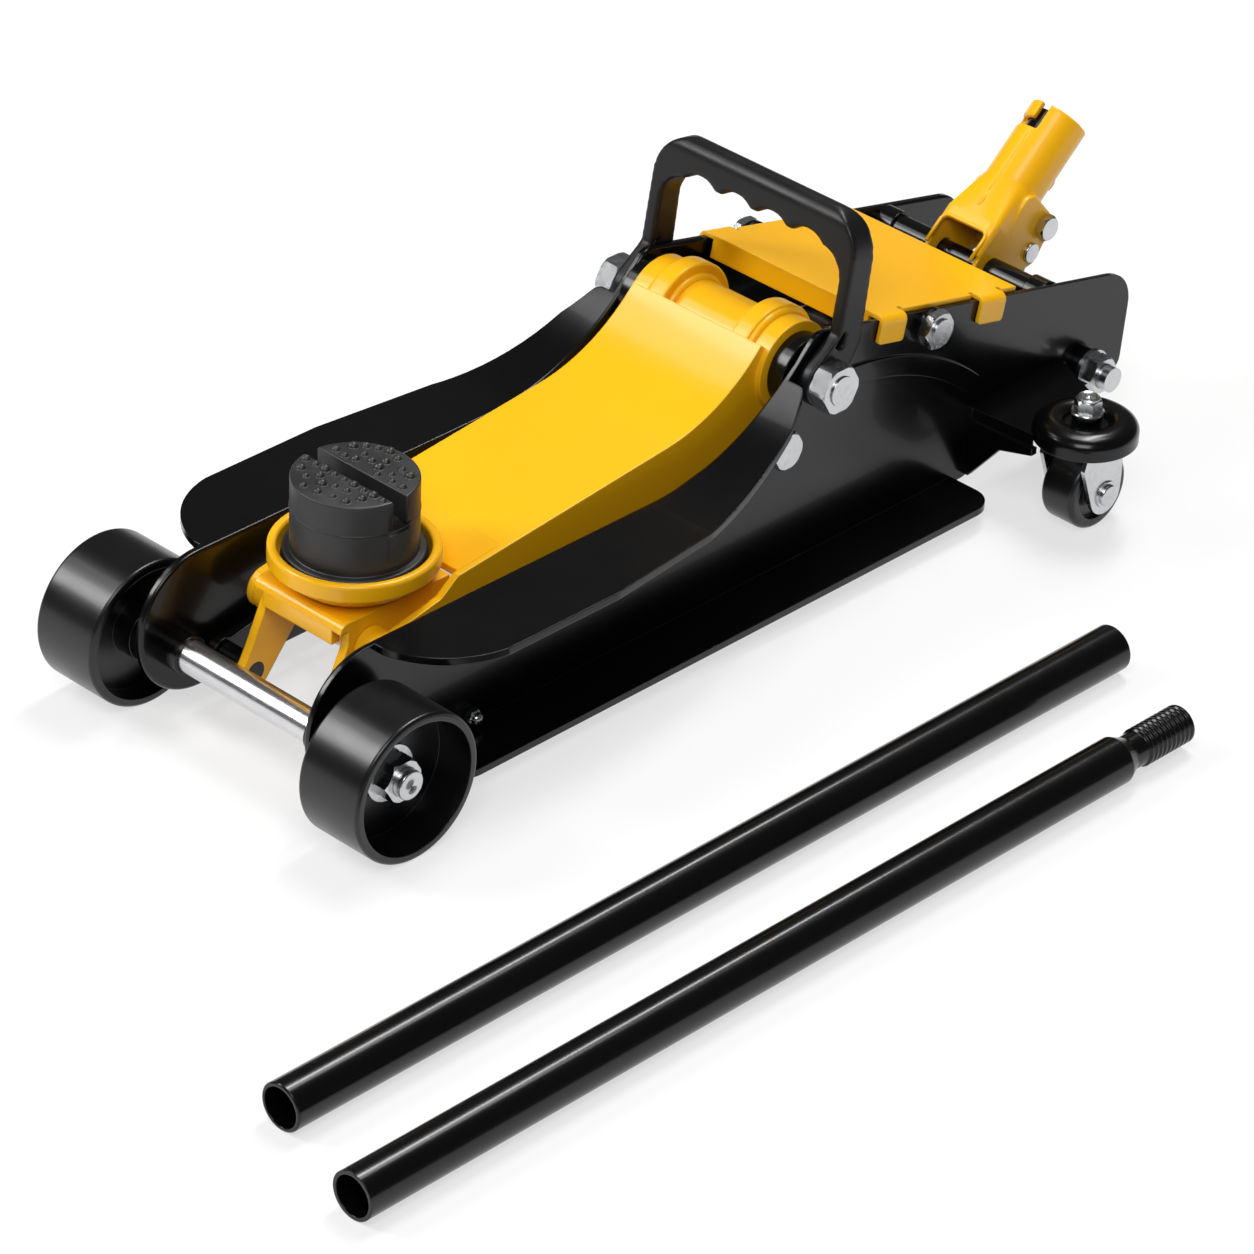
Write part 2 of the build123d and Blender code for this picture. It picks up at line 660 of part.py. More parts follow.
# Lift arm
def arm_curve():
    """Corner, tangent point, end point and circle of the arm's top surface."""
    front = Vector(SADDLE_PIN_X + ARM_FRONT_RUN, SADDLE_PIN_Z + ARM_FRONT_RISE)
    end = Vector(PIVOT_X - ARM_END_BACK, PIVOT_Z + ARM_END_RISE)
    last = radians(ARM_END_ANGLE)
    centre = end + Vector(-sin(last), cos(last)) * ARM_BEND_RADIUS
    away = centre - front
    first = atan2(away.Y, away.X) - asin(ARM_BEND_RADIUS / hypot(away.X, away.Y))
    return front, centre, first, last


def arm_top_edges(depth):
    """Line and arc of the arm's top surface, moved down by a depth."""
    front, centre, first, last = arm_curve()
    radius = ARM_BEND_RADIUS + depth
    spots = [centre + Vector(sin(a), -cos(a)) * radius for a in (first, (first + last) / 2, last)]
    start = front + Vector(sin(first), -cos(first)) * depth
    return Line(start, spots[0]), ThreePointArc(*spots)


def arm_cheek_face():
    """Outline of one side of the arm, from the saddle pin to the ram horn."""
    line, arc = arm_top_edges(0)
    nose_top = (SADDLE_PIN_X, SADDLE_PIN_Z + ARM_NOSE_RADIUS)
    nose_low = (SADDLE_PIN_X, SADDLE_PIN_Z - ARM_NOSE_RADIUS)
    crest = line @ 0
    step = (crest.X - ARM_STEP_RUN, crest.Y - ARM_STEP_DROP)
    belly = (HORN_X - 2 * HORN_LENGTH, HORN_Z - HORN_RADIUS / 2)
    lower = (HORN_X, HORN_Z - HORN_RADIUS)
    border = Polyline(arc @ 1, (PIVOT_X, PIVOT_Z), (HORN_X, HORN_Z), lower, belly, nose_low, nose_top, step, crest)
    face = make_face([line, arc] + border.edges())
    face = fillet(near(face, *step), ARM_STEP_ROUND)
    face = fillet(near(face, crest.X, crest.Y), ARM_STEP_ROUND)
    face = face + Pos(SADDLE_PIN_X, SADDLE_PIN_Z) * Circle(ARM_NOSE_RADIUS)
    return face + capsule(PIVOT_X, PIVOT_Z, ARM_COLLAR_RADIUS, HORN_X, HORN_Z, HORN_RADIUS)


def lift_arm():
    """Pressed lift arm: top plate, two cheeks, cross tube, lugs and collars."""
    line, arc = arm_top_edges(0)
    low_line, low_arc = arm_top_edges(ARM_WALL)
    ends = [Line(line @ 0, low_line @ 0), Line(arc @ 1, low_arc @ 1)]
    top = slab(make_face([line, arc, low_line, low_arc] + ends), -ARM_SIDE, ARM_SIDE)
    mouth = block(0, ARM_CREASE_X, ARM_WALL - ARM_SIDE, ARM_SIDE - ARM_WALL, 0, 2 * PIVOT_Z)
    crease_z = (line @ 0).Y + (ARM_CREASE_X - (line @ 0).X) * tan(arm_curve()[2])
    tray_face = Polyline(
        (ARM_CREASE_X, crease_z),
        (ARM_TRAY_X, ARM_TRAY_Z),
        (ARM_TRAY_X, ARM_TRAY_Z - ARM_WALL),
        (ARM_CREASE_X, crease_z - ARM_WALL),
        close=True,
    )
    tray = slab(make_face(tray_face), ARM_WALL - ARM_SIDE, ARM_SIDE - ARM_WALL)
    cheek = slab(arm_cheek_face(), ARM_SIDE - ARM_WALL, ARM_SIDE)
    lug = pin(PIVOT_X, PIVOT_Z, ARM_LUG_RADIUS, ARM_LUG_INNER, ARM_LUG_INNER + ARM_LUG_WIDTH)
    lug = fillet(lug.edges().filter_by(GeomType.CIRCLE), 2 * EDGE_BREAK)
    lid = Polyline(arc @ 1, ((arc @ 1).X, 2 * PIVOT_Z), ((line @ 0).X, 2 * PIVOT_Z), line @ 0)
    lug = lug - slab(make_face([line, arc] + lid.edges()), 0, ARM_SIDE)
    collar = pin(PIVOT_X, PIVOT_Z, ARM_COLLAR_RADIUS, ARM_LUG_INNER + ARM_LUG_WIDTH, ARM_COLLAR_OUT)
    tube = pin(PIVOT_X, PIVOT_Z, ARM_TUBE_RADIUS, -ARM_LUG_INNER, ARM_LUG_INNER)
    half = cheek + lug + collar
    arm = top - mouth + tray + half + left_of(half) + tube
    arm = arm - pin(PIVOT_X, PIVOT_Z, SHAFT_RADIUS + RUNNING_FIT, -PLATE_IN, PLATE_IN)
    arm = arm - pin(SADDLE_PIN_X, SADDLE_PIN_Z, SADDLE_PIN_RADIUS + BOLT_FIT, -PLATE_IN, PLATE_IN)
    return arm - pin(HORN_X, HORN_Z, HORN_PIN_RADIUS + BOLT_FIT, -PLATE_IN, PLATE_IN)


def main_shaft():
    """Main pivot shaft through both plates with a threaded end on each side."""
    shoulder = PLATE_OUT
    end = PLATE_OUT + END_PLAY + CARRY_LEG_THICK + PIVOT_NUT_THICK + SHAFT_END_SHOWS
    shaft = pin(PIVOT_X, PIVOT_Z, SHAFT_RADIUS, -shoulder, shoulder)
    return shaft + pin(PIVOT_X, PIVOT_Z, SHAFT_THREAD_RADIUS, -end, end)


def pivot_spacers():
    """Black spacer rings between the arm and the plates."""
    hole = SHAFT_RADIUS + BOLT_FIT
    return pair(ring(PIVOT_X, PIVOT_Z, PIVOT_SPACER_RADIUS, hole, ARM_COLLAR_OUT + END_PLAY, PLATE_IN))


def pivot_nuts():
    """Large nuts that clamp the carry handle on the main shaft."""
    seat = PLATE_OUT + END_PLAY + CARRY_LEG_THICK
    hole = SHAFT_THREAD_RADIUS + BOLT_FIT
    return pair(nut(PIVOT_X, PIVOT_Z, PIVOT_NUT_ACROSS, hole, seat, seat + PIVOT_NUT_THICK))


def horn_pin():
    """Pin across the horn of the arm that carries the ram roller."""
    return pin(HORN_X, HORN_Z, HORN_PIN_RADIUS, -ARM_SIDE, ARM_SIDE)


def ram_roller():
    """Roller that the ram pushes."""
    half = ROLLER_WIDTH / 2
    return ring(HORN_X, HORN_Z, ROLLER_RADIUS, HORN_PIN_RADIUS + RUNNING_FIT, -half, half)


# Saddle
def saddle_yoke():
    """Saddle bracket: deck with a turned-down front lip and two legs to the link pin."""
    front = SADDLE_PIN_X - YOKE_FRONT_RUN
    rear = SADDLE_PIN_X + YOKE_REAR_RUN
    under = YOKE_TOP_Z - YOKE_WALL
    deck = block(front, rear, -YOKE_SIDE, YOKE_SIDE, under, YOKE_TOP_Z)
    lip_side = YOKE_SIDE - YOKE_WALL - YOKE_LIP_GAP
    lip = block(front, front + YOKE_WALL, -lip_side, lip_side, under - YOKE_LIP_DROP, under)
    deck = deck + lip
    bend = deck.edges().filter_by(Axis.Y).group_by(Axis.X)[0].sort_by(Axis.Z)[-1]
    deck = fillet(bend, YOKE_WALL * 0.9)
    corners = [
        (front + YOKE_WALL, under + YOKE_WALL / 2),
        (rear, under + YOKE_WALL / 2),
        (rear, under - YOKE_WALL),
        (SADDLE_PIN_X + YOKE_EYE_RADIUS, SADDLE_PIN_Z - YOKE_EYE_RADIUS / 2),
        (SADDLE_PIN_X, SADDLE_PIN_Z - YOKE_EYE_RADIUS),
        (LINK_PIN_X, LINK_PIN_Z),
        (LINK_PIN_X - LINK_EYE_RADIUS, LINK_PIN_Z),
        (front + YOKE_WALL, under - YOKE_LIP_DROP),
    ]
    leg_face = make_face(Polyline(*corners, close=True))
    leg_face = leg_face + Pos(SADDLE_PIN_X, SADDLE_PIN_Z) * Circle(YOKE_EYE_RADIUS)
    leg_face = leg_face + capsule(
        SADDLE_PIN_X, SADDLE_PIN_Z, YOKE_EYE_RADIUS, LINK_PIN_X, LINK_PIN_Z, LINK_EYE_RADIUS
    )
    leg = slab(leg_face, YOKE_SIDE - YOKE_WALL, YOKE_SIDE)
    yoke = deck + leg + left_of(leg)
    yoke = yoke - pin(SADDLE_PIN_X, SADDLE_PIN_Z, SADDLE_PIN_RADIUS + RUNNING_FIT, -YOKE_SIDE, YOKE_SIDE)
    yoke = yoke - pin(LINK_PIN_X, LINK_PIN_Z, LINK_PIN_RADIUS + BOLT_FIT, -YOKE_SIDE, YOKE_SIDE)
    return yoke - post(SADDLE_X, 0, CUP_STEM_RADIUS + RUNNING_FIT, under - 1, YOKE_TOP_Z + 1)


def saddle_pin():
    """Pin that joins the saddle yoke to the nose of the arm."""
    return pin(SADDLE_PIN_X, SADDLE_PIN_Z, SADDLE_PIN_RADIUS, -ARM_SIDE, ARM_SIDE)


def saddle_pin_sleeves():
    """Sleeves that centre the yoke between the cheeks of the arm."""
    hole = SADDLE_PIN_RADIUS + BOLT_FIT
    outer = SADDLE_PIN_RADIUS + ARM_WALL
    return pair(ring(SADDLE_PIN_X, SADDLE_PIN_Z, outer, hole, YOKE_SIDE + END_PLAY, ARM_SIDE - ARM_WALL))


def saddle_cup():
    """Dished saddle cup with its swivel stem."""
    rim_low = CUP_RIM_Z - CUP_BAND
    profile = make_face(
        Polyline(
            (0, CUP_BOTTOM_Z),
            (CUP_BASE_RADIUS, CUP_BOTTOM_Z),
            (CUP_RADIUS, rim_low),
            (CUP_RADIUS, CUP_RIM_Z),
            (CUP_RADIUS - CUP_WALL, CUP_RIM_Z),
            (CUP_RADIUS - CUP_WALL, CUP_BOTTOM_Z + CUP_FLOOR),
            (0, CUP_BOTTOM_Z + CUP_FLOOR),
            close=True,
        )
    )
    rim = profile.vertices().group_by(Axis.Y)[-1]
    profile = fillet(rim, CUP_WALL * 0.4)
    cup = Pos(SADDLE_X, 0, 0) * revolve(Plane.XZ * profile, Axis.Z)
    stem_low = YOKE_TOP_Z - YOKE_WALL - END_PLAY - RETAINER_THICK - CUP_STEM_BELOW
    return cup + post(SADDLE_X, 0, CUP_STEM_RADIUS, stem_low, CUP_BOTTOM_Z + CUP_FLOOR / 2)


def saddle_retainer():
    """Ring that keeps the saddle stem in the yoke."""
    top = YOKE_TOP_Z - YOKE_WALL - END_PLAY
    disc = post(SADDLE_X, 0, RETAINER_RADIUS, top - RETAINER_THICK, top)
    return disc - post(SADDLE_X, 0, CUP_STEM_RADIUS, top - RETAINER_THICK, top)


def rubber_pad():
    """Round rubber block with a foot ring and a slot for the sill seam."""
    foot_z = CUP_BOTTOM_Z + CUP_FLOOR
    foot = post(SADDLE_X, 0, PAD_FOOT_RADIUS, foot_z, foot_z + PAD_FOOT_THICK)
    body = post(SADDLE_X, 0, PAD_RADIUS, foot_z, PAD_TOP_Z)
    body = chamfer(body.edges().filter_by(GeomType.CIRCLE).sort_by(Axis.Z)[-1], EDGE_BREAK)
    foot = fillet(foot.edges().filter_by(GeomType.CIRCLE).sort_by(Axis.Z)[-1], PAD_FOOT_THICK / 4)
    half = PAD_SLOT_WIDTH / 2
    slot_low = PAD_TOP_Z - PAD_SLOT_DEPTH
    slot = block(SADDLE_X - half, SADDLE_X + half, -PAD_RADIUS, PAD_RADIUS, slot_low, PAD_TOP_Z)
    wide = PAD_NOTCH_WIDTH / 2
    notch = block(
        SADDLE_X - wide, SADDLE_X + wide, PAD_RADIUS * 0.8, PAD_RADIUS, slot_low - PAD_NOTCH_DROP, slot_low
    )
    return body + foot - slot - notch - left_of(notch)


# Levelling links
def link_rod():
    """Right link rod, parallel to the arm, which keeps the saddle level."""
    face = capsule(LINK_X, LINK_Z, LINK_HALF_DEPTH, LINK_PIN_X, LINK_PIN_Z, LINK_HALF_DEPTH)
    face = face + Pos(LINK_X, LINK_Z) * Circle(LINK_EYE_RADIUS)
    face = face + Pos(LINK_PIN_X, LINK_PIN_Z) * Circle(LINK_EYE_RADIUS)
    face = face - Pos(LINK_X, LINK_Z) * Circle(LINK_PIN_RADIUS + RUNNING_FIT)
    face = face - Pos(LINK_PIN_X, LINK_PIN_Z) * Circle(LINK_PIN_RADIUS + LINK_PIN_PLAY)
    return slab(face, LINK_IN, LINK_OUT)


def link_front_pin():
    """Stub pins in the yoke legs that the front eyes of the links turn on."""
    shoulder = LINK_IN - END_PLAY
    stub = pin(LINK_PIN_X, LINK_PIN_Z, LINK_PIN_RADIUS, YOKE_SIDE - YOKE_WALL, LINK_OUT + END_PLAY)
    return pair(stub + pin(LINK_PIN_X, LINK_PIN_Z, LINK_PIN_SHOULDER, YOKE_SIDE, shoulder))


def link_bolts():
    """Bolts in the plates that the rear eyes of the links turn on."""
    shank = pin(LINK_X, LINK_Z, LINK_PIN_RADIUS, LINK_IN, PLATE_OUT + LINK_BOLT_HEAD / 2)
    spacer = pin(LINK_X, LINK_Z, LINK_EYE_RADIUS, LINK_OUT + END_PLAY, PLATE_IN)
    head = hex_piece(LINK_X, LINK_Z, LINK_BOLT_ACROSS, PLATE_OUT, PLATE_OUT + LINK_BOLT_HEAD)
    return pair(shank + spacer + head)


# Hydraulic unit
def ram_rod():
    """Ram rod with the flat head that bears on the roller."""
    head_rear = RAM_FACE_X + RAM_HEAD_THICK
    head = bar_x(0, RAM_Z, RAM_HEAD_RADIUS, RAM_FACE_X, head_rear)
    head = chamfer(head.edges().filter_by(GeomType.CIRCLE), 2 * EDGE_BREAK)
    rod_rear = CYLINDER_X + CYLINDER_LENGTH * 0.8
    rod = bar_x(0, RAM_Z, RAM_RADIUS, RAM_FACE_X, rod_rear)
    piston = bar_x(0, RAM_Z, CYLINDER_BORE - RUNNING_FIT, rod_rear - RAM_HEAD_THICK, rod_rear)
    return head + rod + piston


def gland_nut():
    """Gland nut that closes the front of the cylinder."""
    face = RegularPolygon(GLAND_RADIUS, 6, major_radius=False) & Circle(GLAND_RADIUS * 1.08)
    body = extrude(Plane.YZ.offset(GLAND_X) * Pos(0, RAM_Z) * face, amount=GLAND_LENGTH)
    return body - bar_x(0, RAM_Z, RAM_RADIUS + RUNNING_FIT, GLAND_X, CYLINDER_X)


def ram_cylinder():
    """Oil cylinder between the gland nut and the pump block, with a filler hole."""
    tube = bar_x(0, RAM_Z, CYLINDER_RADIUS, CYLINDER_X, BLOCK_X)
    tube = chamfer(tube.edges().filter_by(GeomType.CIRCLE).sort_by(Axis.X)[0], 2 * EDGE_BREAK)
    bore = bar_x(0, RAM_Z, CYLINDER_BORE, CYLINDER_X, BLOCK_X)
    filler_x = CYLINDER_X + CYLINDER_LENGTH / 2
    return tube - bore - post(filler_x, 0, PLUG_RADIUS / 2 + BOLT_FIT, RAM_Z, RAM_Z + CYLINDER_RADIUS)


def filler_plug():
    """Rubber plug in the filler hole of the cylinder."""
    filler_x = CYLINDER_X + CYLINDER_LENGTH / 2
    top = RAM_Z + CYLINDER_RADIUS
    stem = post(filler_x, 0, PLUG_RADIUS / 2, RAM_Z + CYLINDER_BORE + END_PLAY, top + PLUG_HEIGHT / 2)
    return stem + post(filler_x, 0, PLUG_RADIUS, top, top + PLUG_HEIGHT)


def pump_block():
    """Pump block: head behind the cylinder, tail with the pump barrel and bolt holes."""
    width = BLOCK_HALF_WIDTH
    top = RAM_Z + CYLINDER_RADIUS
    head = block(BLOCK_X, BLOCK_TAIL_X, -width, width, BLOCK_BOTTOM_Z, top)
    tail = block(BLOCK_TAIL_X, BLOCK_REAR_X, -width, width, BLOCK_BOTTOM_Z, BLOCK_TAIL_TOP_Z)
    body = head + tail
    body = fillet(body.edges().filter_by(Axis.Z), BLOCK_ROUND)
    barrel_top = BLOCK_TAIL_TOP_Z + PUMP_BARREL_RISE
    body = body + post(PLUNGER_X, 0, PUMP_BARREL_RADIUS, BLOCK_BOTTOM_Z, barrel_top)
    body = body - post(
        PLUNGER_X, 0, PLUNGER_RADIUS + RUNNING_FIT, BLOCK_TAIL_TOP_Z - PUMP_BORE_DEPTH, barrel_top
    )
    hole_in = width - REAR_BOLT_DEPTH
    hole = pin(REAR_BOLT_X, REAR_BOLT_Z, REAR_BOLT_RADIUS + BOLT_FIT, hole_in, width)
    body = body - hole - left_of(hole)
    for y in (-RETURN_SPRING_Y, RETURN_SPRING_Y):
        body = body + bar_x(y, HORN_Z, SPRING_POST_RADIUS, BLOCK_X - 2 * SPRING_POST_RADIUS, BLOCK_X)
    return body - bar_x(0, VALVE_Z, VALVE_RADIUS + RUNNING_FIT, BLOCK_REAR_X - VALVE_REACH, BLOCK_REAR_X)


def release_valve():
    """Release valve screw at the rear of the pump block, with a slotted head."""
    head_in = BLOCK_REAR_X + END_PLAY
    head_out = head_in + VALVE_HEAD_LENGTH
    stem = bar_x(0, VALVE_Z, VALVE_RADIUS, BLOCK_REAR_X - VALVE_REACH + END_PLAY, head_out)
    head = bar_x(0, VALVE_Z, VALVE_HEAD_RADIUS, head_in, head_out)
    head = chamfer(head.edges().filter_by(GeomType.CIRCLE), EDGE_BREAK)
    half = VALVE_SLOT / 2
    slot = block(
        head_out - VALVE_SLOT,
        head_out,
        -VALVE_HEAD_RADIUS,
        VALVE_HEAD_RADIUS,
        VALVE_Z - half,
        VALVE_Z + half,
    )
    return stem + head - slot


def pump_plunger():
    """Pump plunger with the flat head that the socket roller presses."""
    stem = post(PLUNGER_X, 0, PLUNGER_RADIUS, PLUNGER_TOP_Z - PLUNGER_LENGTH, PLUNGER_TOP_Z)
    head = post(PLUNGER_X, 0, PLUNGER_HEAD_RADIUS, PLUNGER_SEAT_Z, PLUNGER_TOP_Z)
    return stem + chamfer(head.edges().filter_by(GeomType.CIRCLE), EDGE_BREAK)


def pump_spring():
    """Coil spring that lifts the plunger."""
    low = BLOCK_TAIL_TOP_Z + PUMP_SPRING_WIRE + END_PLAY
    high = PLUNGER_SEAT_Z - PUMP_SPRING_WIRE - END_PLAY
    return coil(
        (PLUNGER_X, 0, low),
        (0, 0, 1),
        (1, 0, 0),
        PUMP_SPRING_RADIUS,
        PUMP_SPRING_WIRE,
        high - low,
        PUMP_SPRING_TURNS,
    )


def return_springs():
    """Two coil springs that pull the horn of the arm back to the pump block."""
    front = HORN_X + HORN_PIN_RADIUS + RETURN_SPRING_WIRE + END_PLAY
    rear = BLOCK_X - RETURN_SPRING_WIRE - END_PLAY
    spring = coil(
        (front, RETURN_SPRING_Y, HORN_Z),
        (1, 0, 0),
        (0, 0, 1),
        RETURN_SPRING_RADIUS,
        RETURN_SPRING_WIRE,
        rear - front,
        RETURN_SPRING_TURNS,
    )
    return pair(spring)


# Handle socket, drawn along its own axis from the pivot and then leaned back
def socket_place():
    """Plane at the socket pivot: local X is the upper front side, local Z runs up the socket."""
    lean = radians(SOCKET_ANGLE)
    return Plane(
        origin=(SOCKET_X, 0, SOCKET_Z),
        x_dir=(-sin(lean), 0, cos(lean)),
        z_dir=(cos(lean), 0, sin(lean)),
    )


def socket_spot(along, above):
    """X and Z in the jack of a point given along the socket and above its axis."""
    spot = socket_place().from_local_coords((above, 0, along))
    return spot.X, spot.Z


def roller_spot():
    """Place of the pump roller along the socket and above its axis."""
    lean = radians(SOCKET_ANGLE)
    return PUMP_ARM * cos(lean), -PUMP_ARM * sin(lean)


def cross_slab(face, low, high):
    """Extrude a sketch, drawn along the socket and above its axis, from one Y to another."""
    flat = Plane(origin=(0, low, 0), x_dir=(0, 0, 1), z_dir=(0, 1, 0))
    return extrude(flat * face, amount=high - low)


def socket_shell():
    """Outside of the socket, along its own axis: tube, neck, box, cheeks and lugs."""
    outer = SOCKET_BORE + SOCKET_WALL
    tube_low = SOCKET_TOP - SOCKET_TUBE
    tube = extrude(Pos(0, 0, tube_low) * Circle(outer), amount=SOCKET_TUBE)
    box_face = RectangleRounded(2 * SOCKET_HALF_DEPTH, 2 * SOCKET_HALF_WIDTH, SOCKET_BOX_ROUND)
    box = extrude(box_face, amount=SOCKET_BOX_TOP)
    neck = loft([Pos(0, 0, SOCKET_BOX_TOP) * box_face, Pos(0, 0, tube_low) * Circle(outer)])
    eye = cross_slab(Circle(SOCKET_EYE_RADIUS), -SOCKET_HALF_WIDTH, SOCKET_HALF_WIDTH)
    along, above = roller_spot()
    keel_face = make_hull(
        (Pos(0, -SOCKET_EYE_RADIUS / 2) * Circle(SOCKET_EYE_RADIUS / 2)).edges()
        + (Pos(along, above) * Circle(PUMP_EAR_RADIUS)).edges()
        + (Pos(LOCK_BOLT_ALONG, -LOCK_BOLT_BELOW) * Circle(LOCK_LUG_RADIUS)).edges()
        + (Pos(LOCK_BOLT_ALONG, 0) * Circle(LOCK_LUG_RADIUS)).edges()
    )
    keel = cross_slab(keel_face, -SOCKET_HALF_WIDTH, SOCKET_HALF_WIDTH)
    ear_face = capsule(
        CLAMP_EAR_ALONG, 0, CLAMP_EAR_RADIUS, CLAMP_EAR_ALONG, -CLAMP_EAR_BELOW, CLAMP_EAR_RADIUS
    )
    ear = cross_slab(ear_face, -CLAMP_EAR_HALF_WIDTH, CLAMP_EAR_HALF_WIDTH)
    return tube + box + neck + eye + keel + ear


def handle_socket():
    """Handle socket: tube for the handle, fork on the pivot, pump keel, window and bayonet slot."""
    body = socket_shell()
    inner_width = SOCKET_HALF_WIDTH - SOCKET_BOX_WALL
    inner_depth = SOCKET_HALF_DEPTH - SOCKET_BOX_WALL
    along, above = roller_spot()
    reach = 2 * SOCKET_EYE_RADIUS
    hollow_top = SOCKET_BOX_TOP - SOCKET_BOX_WALL
    hollow = Pos(-reach, 0) * Rectangle(2 * (reach + hollow_top), 2 * inner_depth, align=Align.CENTER)
    body = body - cross_slab(hollow, -inner_width, inner_width)
    slot_end = along + PUMP_ROLLER_RADIUS + 2 * END_PLAY
    slot = Pos(slot_end - 2 * reach, -reach) * Rectangle(4 * reach, 2 * reach)
    body = body - cross_slab(slot, -inner_width, inner_width)
    body = body - extrude(Circle(SOCKET_BORE), amount=SOCKET_TOP)
    window = RectangleRounded(2 * inner_width - 2 * END_PLAY, SOCKET_WINDOW_LENGTH, SOCKET_WINDOW_ROUND)
    body = body - extrude(Plane.YZ * window, amount=2 * SOCKET_HALF_DEPTH)
    half = JAY_SLOT_WIDTH / 2
    outer = SOCKET_BORE + SOCKET_WALL
    slot_low = SOCKET_TOP - JAY_SLOT_DEPTH
    middle = outer / 2 + half
    stem = Pos(middle, 0, slot_low + JAY_SLOT_DEPTH / 2) * Box(outer, JAY_SLOT_WIDTH, JAY_SLOT_DEPTH)
    hook_width = JAY_SLOT_SWEEP + JAY_SLOT_WIDTH
    hook = Pos(middle, -JAY_SLOT_SWEEP / 2, slot_low + half) * Box(outer, hook_width, JAY_SLOT_WIDTH)
    body = body - stem - hook
    holes = [
        (0, 0, SOCKET_SHAFT_RADIUS + RUNNING_FIT),
        (along, above, PUMP_PIN_RADIUS + BOLT_FIT),
        (LOCK_BOLT_ALONG, -LOCK_BOLT_BELOW, LOCK_BOLT_RADIUS + BOLT_FIT),
    ]
    for hole_along, hole_above, radius in holes:
        body = body - cross_slab(Pos(hole_along, hole_above) * Circle(radius), -PLATE_IN, PLATE_IN)
    return socket_place() * body


def socket_shaft():
    """Shaft across the plates that the handle socket turns on."""
    return pin(SOCKET_X, SOCKET_Z, SOCKET_SHAFT_RADIUS, -PLATE_IN, PLATE_IN)


def socket_collars():
    """Black collars that hold the socket shaft on the inner faces of the plates."""
    hole = SOCKET_SHAFT_RADIUS + BOLT_FIT
    low = PLATE_IN - SOCKET_COLLAR_LENGTH
    return pair(ring(SOCKET_X, SOCKET_Z, SOCKET_COLLAR_RADIUS, hole, low, PLATE_IN))


def socket_sleeves():
    """Sleeves that centre the socket on its shaft."""
    hole = SOCKET_SHAFT_RADIUS + BOLT_FIT
    high = PLATE_IN - SOCKET_COLLAR_LENGTH
    return pair(ring(SOCKET_X, SOCKET_Z, SOCKET_SLEEVE_RADIUS, hole, SOCKET_HALF_WIDTH + END_PLAY, high))


def pump_roller():
    """Roller under the socket that presses the plunger."""
    half = SOCKET_HALF_WIDTH - SOCKET_BOX_WALL - END_PLAY
    x, z = socket_spot(*roller_spot())
    return ring(x, z, PUMP_ROLLER_RADIUS, PUMP_PIN_RADIUS + RUNNING_FIT, -half, half)


def pump_roller_pin():
    """Riveted pin of the pump roller."""
    x, z = socket_spot(*roller_spot())
    shank = pin(x, z, PUMP_PIN_RADIUS, -SOCKET_HALF_WIDTH, SOCKET_HALF_WIDTH)
    head = pin(x, z, PUMP_PIN_HEAD, SOCKET_HALF_WIDTH, SOCKET_HALF_WIDTH + PUMP_PIN_RADIUS / 2)
    head = fillet(head.edges().filter_by(GeomType.CIRCLE).sort_by(Axis.Y)[-1], EDGE_BREAK)
    return shank + head + left_of(head)


def lock_bolt():
    """Hexagon bolt through the keel of the socket, which locks the handle."""
    x, z = socket_spot(LOCK_BOLT_ALONG, -LOCK_BOLT_BELOW)
    wide = SOCKET_HALF_WIDTH
    shank = pin(x, z, LOCK_BOLT_RADIUS, -wide - LOCK_BOLT_HEAD / 2, wide + LOCK_BOLT_RADIUS)
    return shank + hex_piece(x, z, LOCK_BOLT_ACROSS, -wide - LOCK_BOLT_HEAD, -wide)


# Tie rods and rear bolts
def tie_rods():
    """Tie rod under the cover and slim tie rod behind the front wheels."""
    end = PLATE_OUT + TIE_BUSH_LENGTH + TIE_NUT_THICK + TIE_END_SHOWS
    main = pin(TIE_X, TIE_Z, TIE_RADIUS, -end, end)
    end = PLATE_OUT + FRONT_NUT_THICK + TIE_END_SHOWS
    front = pin(FRONT_TIE_X, FRONT_TIE_Z, FRONT_TIE_RADIUS, -end, end)
    return Compound([main, front])


def bolt_bushes():
    """Black bushes under the nuts of the tie rod and of the rear bolts."""
    out = PLATE_OUT + TIE_BUSH_LENGTH
    tie = ring(TIE_X, TIE_Z, TIE_BUSH_RADIUS, TIE_RADIUS + BOLT_FIT, PLATE_OUT, out)
    out = PLATE_OUT + REAR_BUSH_LENGTH
    rear = ring(REAR_BOLT_X, REAR_BOLT_Z, TIE_BUSH_RADIUS, REAR_BOLT_RADIUS + BOLT_FIT, PLATE_OUT, out)
    return Compound([tie, rear, left_of(tie), left_of(rear)])


def tie_nuts():
    """Nuts of both tie rods."""
    seat = PLATE_OUT + TIE_BUSH_LENGTH
    main = nut(TIE_X, TIE_Z, TIE_NUT_ACROSS, TIE_RADIUS + BOLT_FIT, seat, seat + TIE_NUT_THICK)
    seat = PLATE_OUT
    hole = FRONT_TIE_RADIUS + BOLT_FIT
    front = nut(FRONT_TIE_X, FRONT_TIE_Z, FRONT_NUT_ACROSS, hole, seat, seat + FRONT_NUT_THICK)
    return Compound([main, front, left_of(main), left_of(front)])


def rear_bolts():
    """Studs that hold the pump block between the plates."""
    low = BLOCK_HALF_WIDTH - REAR_BOLT_DEPTH + END_PLAY
    high = PLATE_OUT + REAR_BUSH_LENGTH + REAR_WASHER_THICK + REAR_NUT_THICK + REAR_END_SHOWS
    return pair(pin(REAR_BOLT_X, REAR_BOLT_Z, REAR_BOLT_RADIUS, low, high))


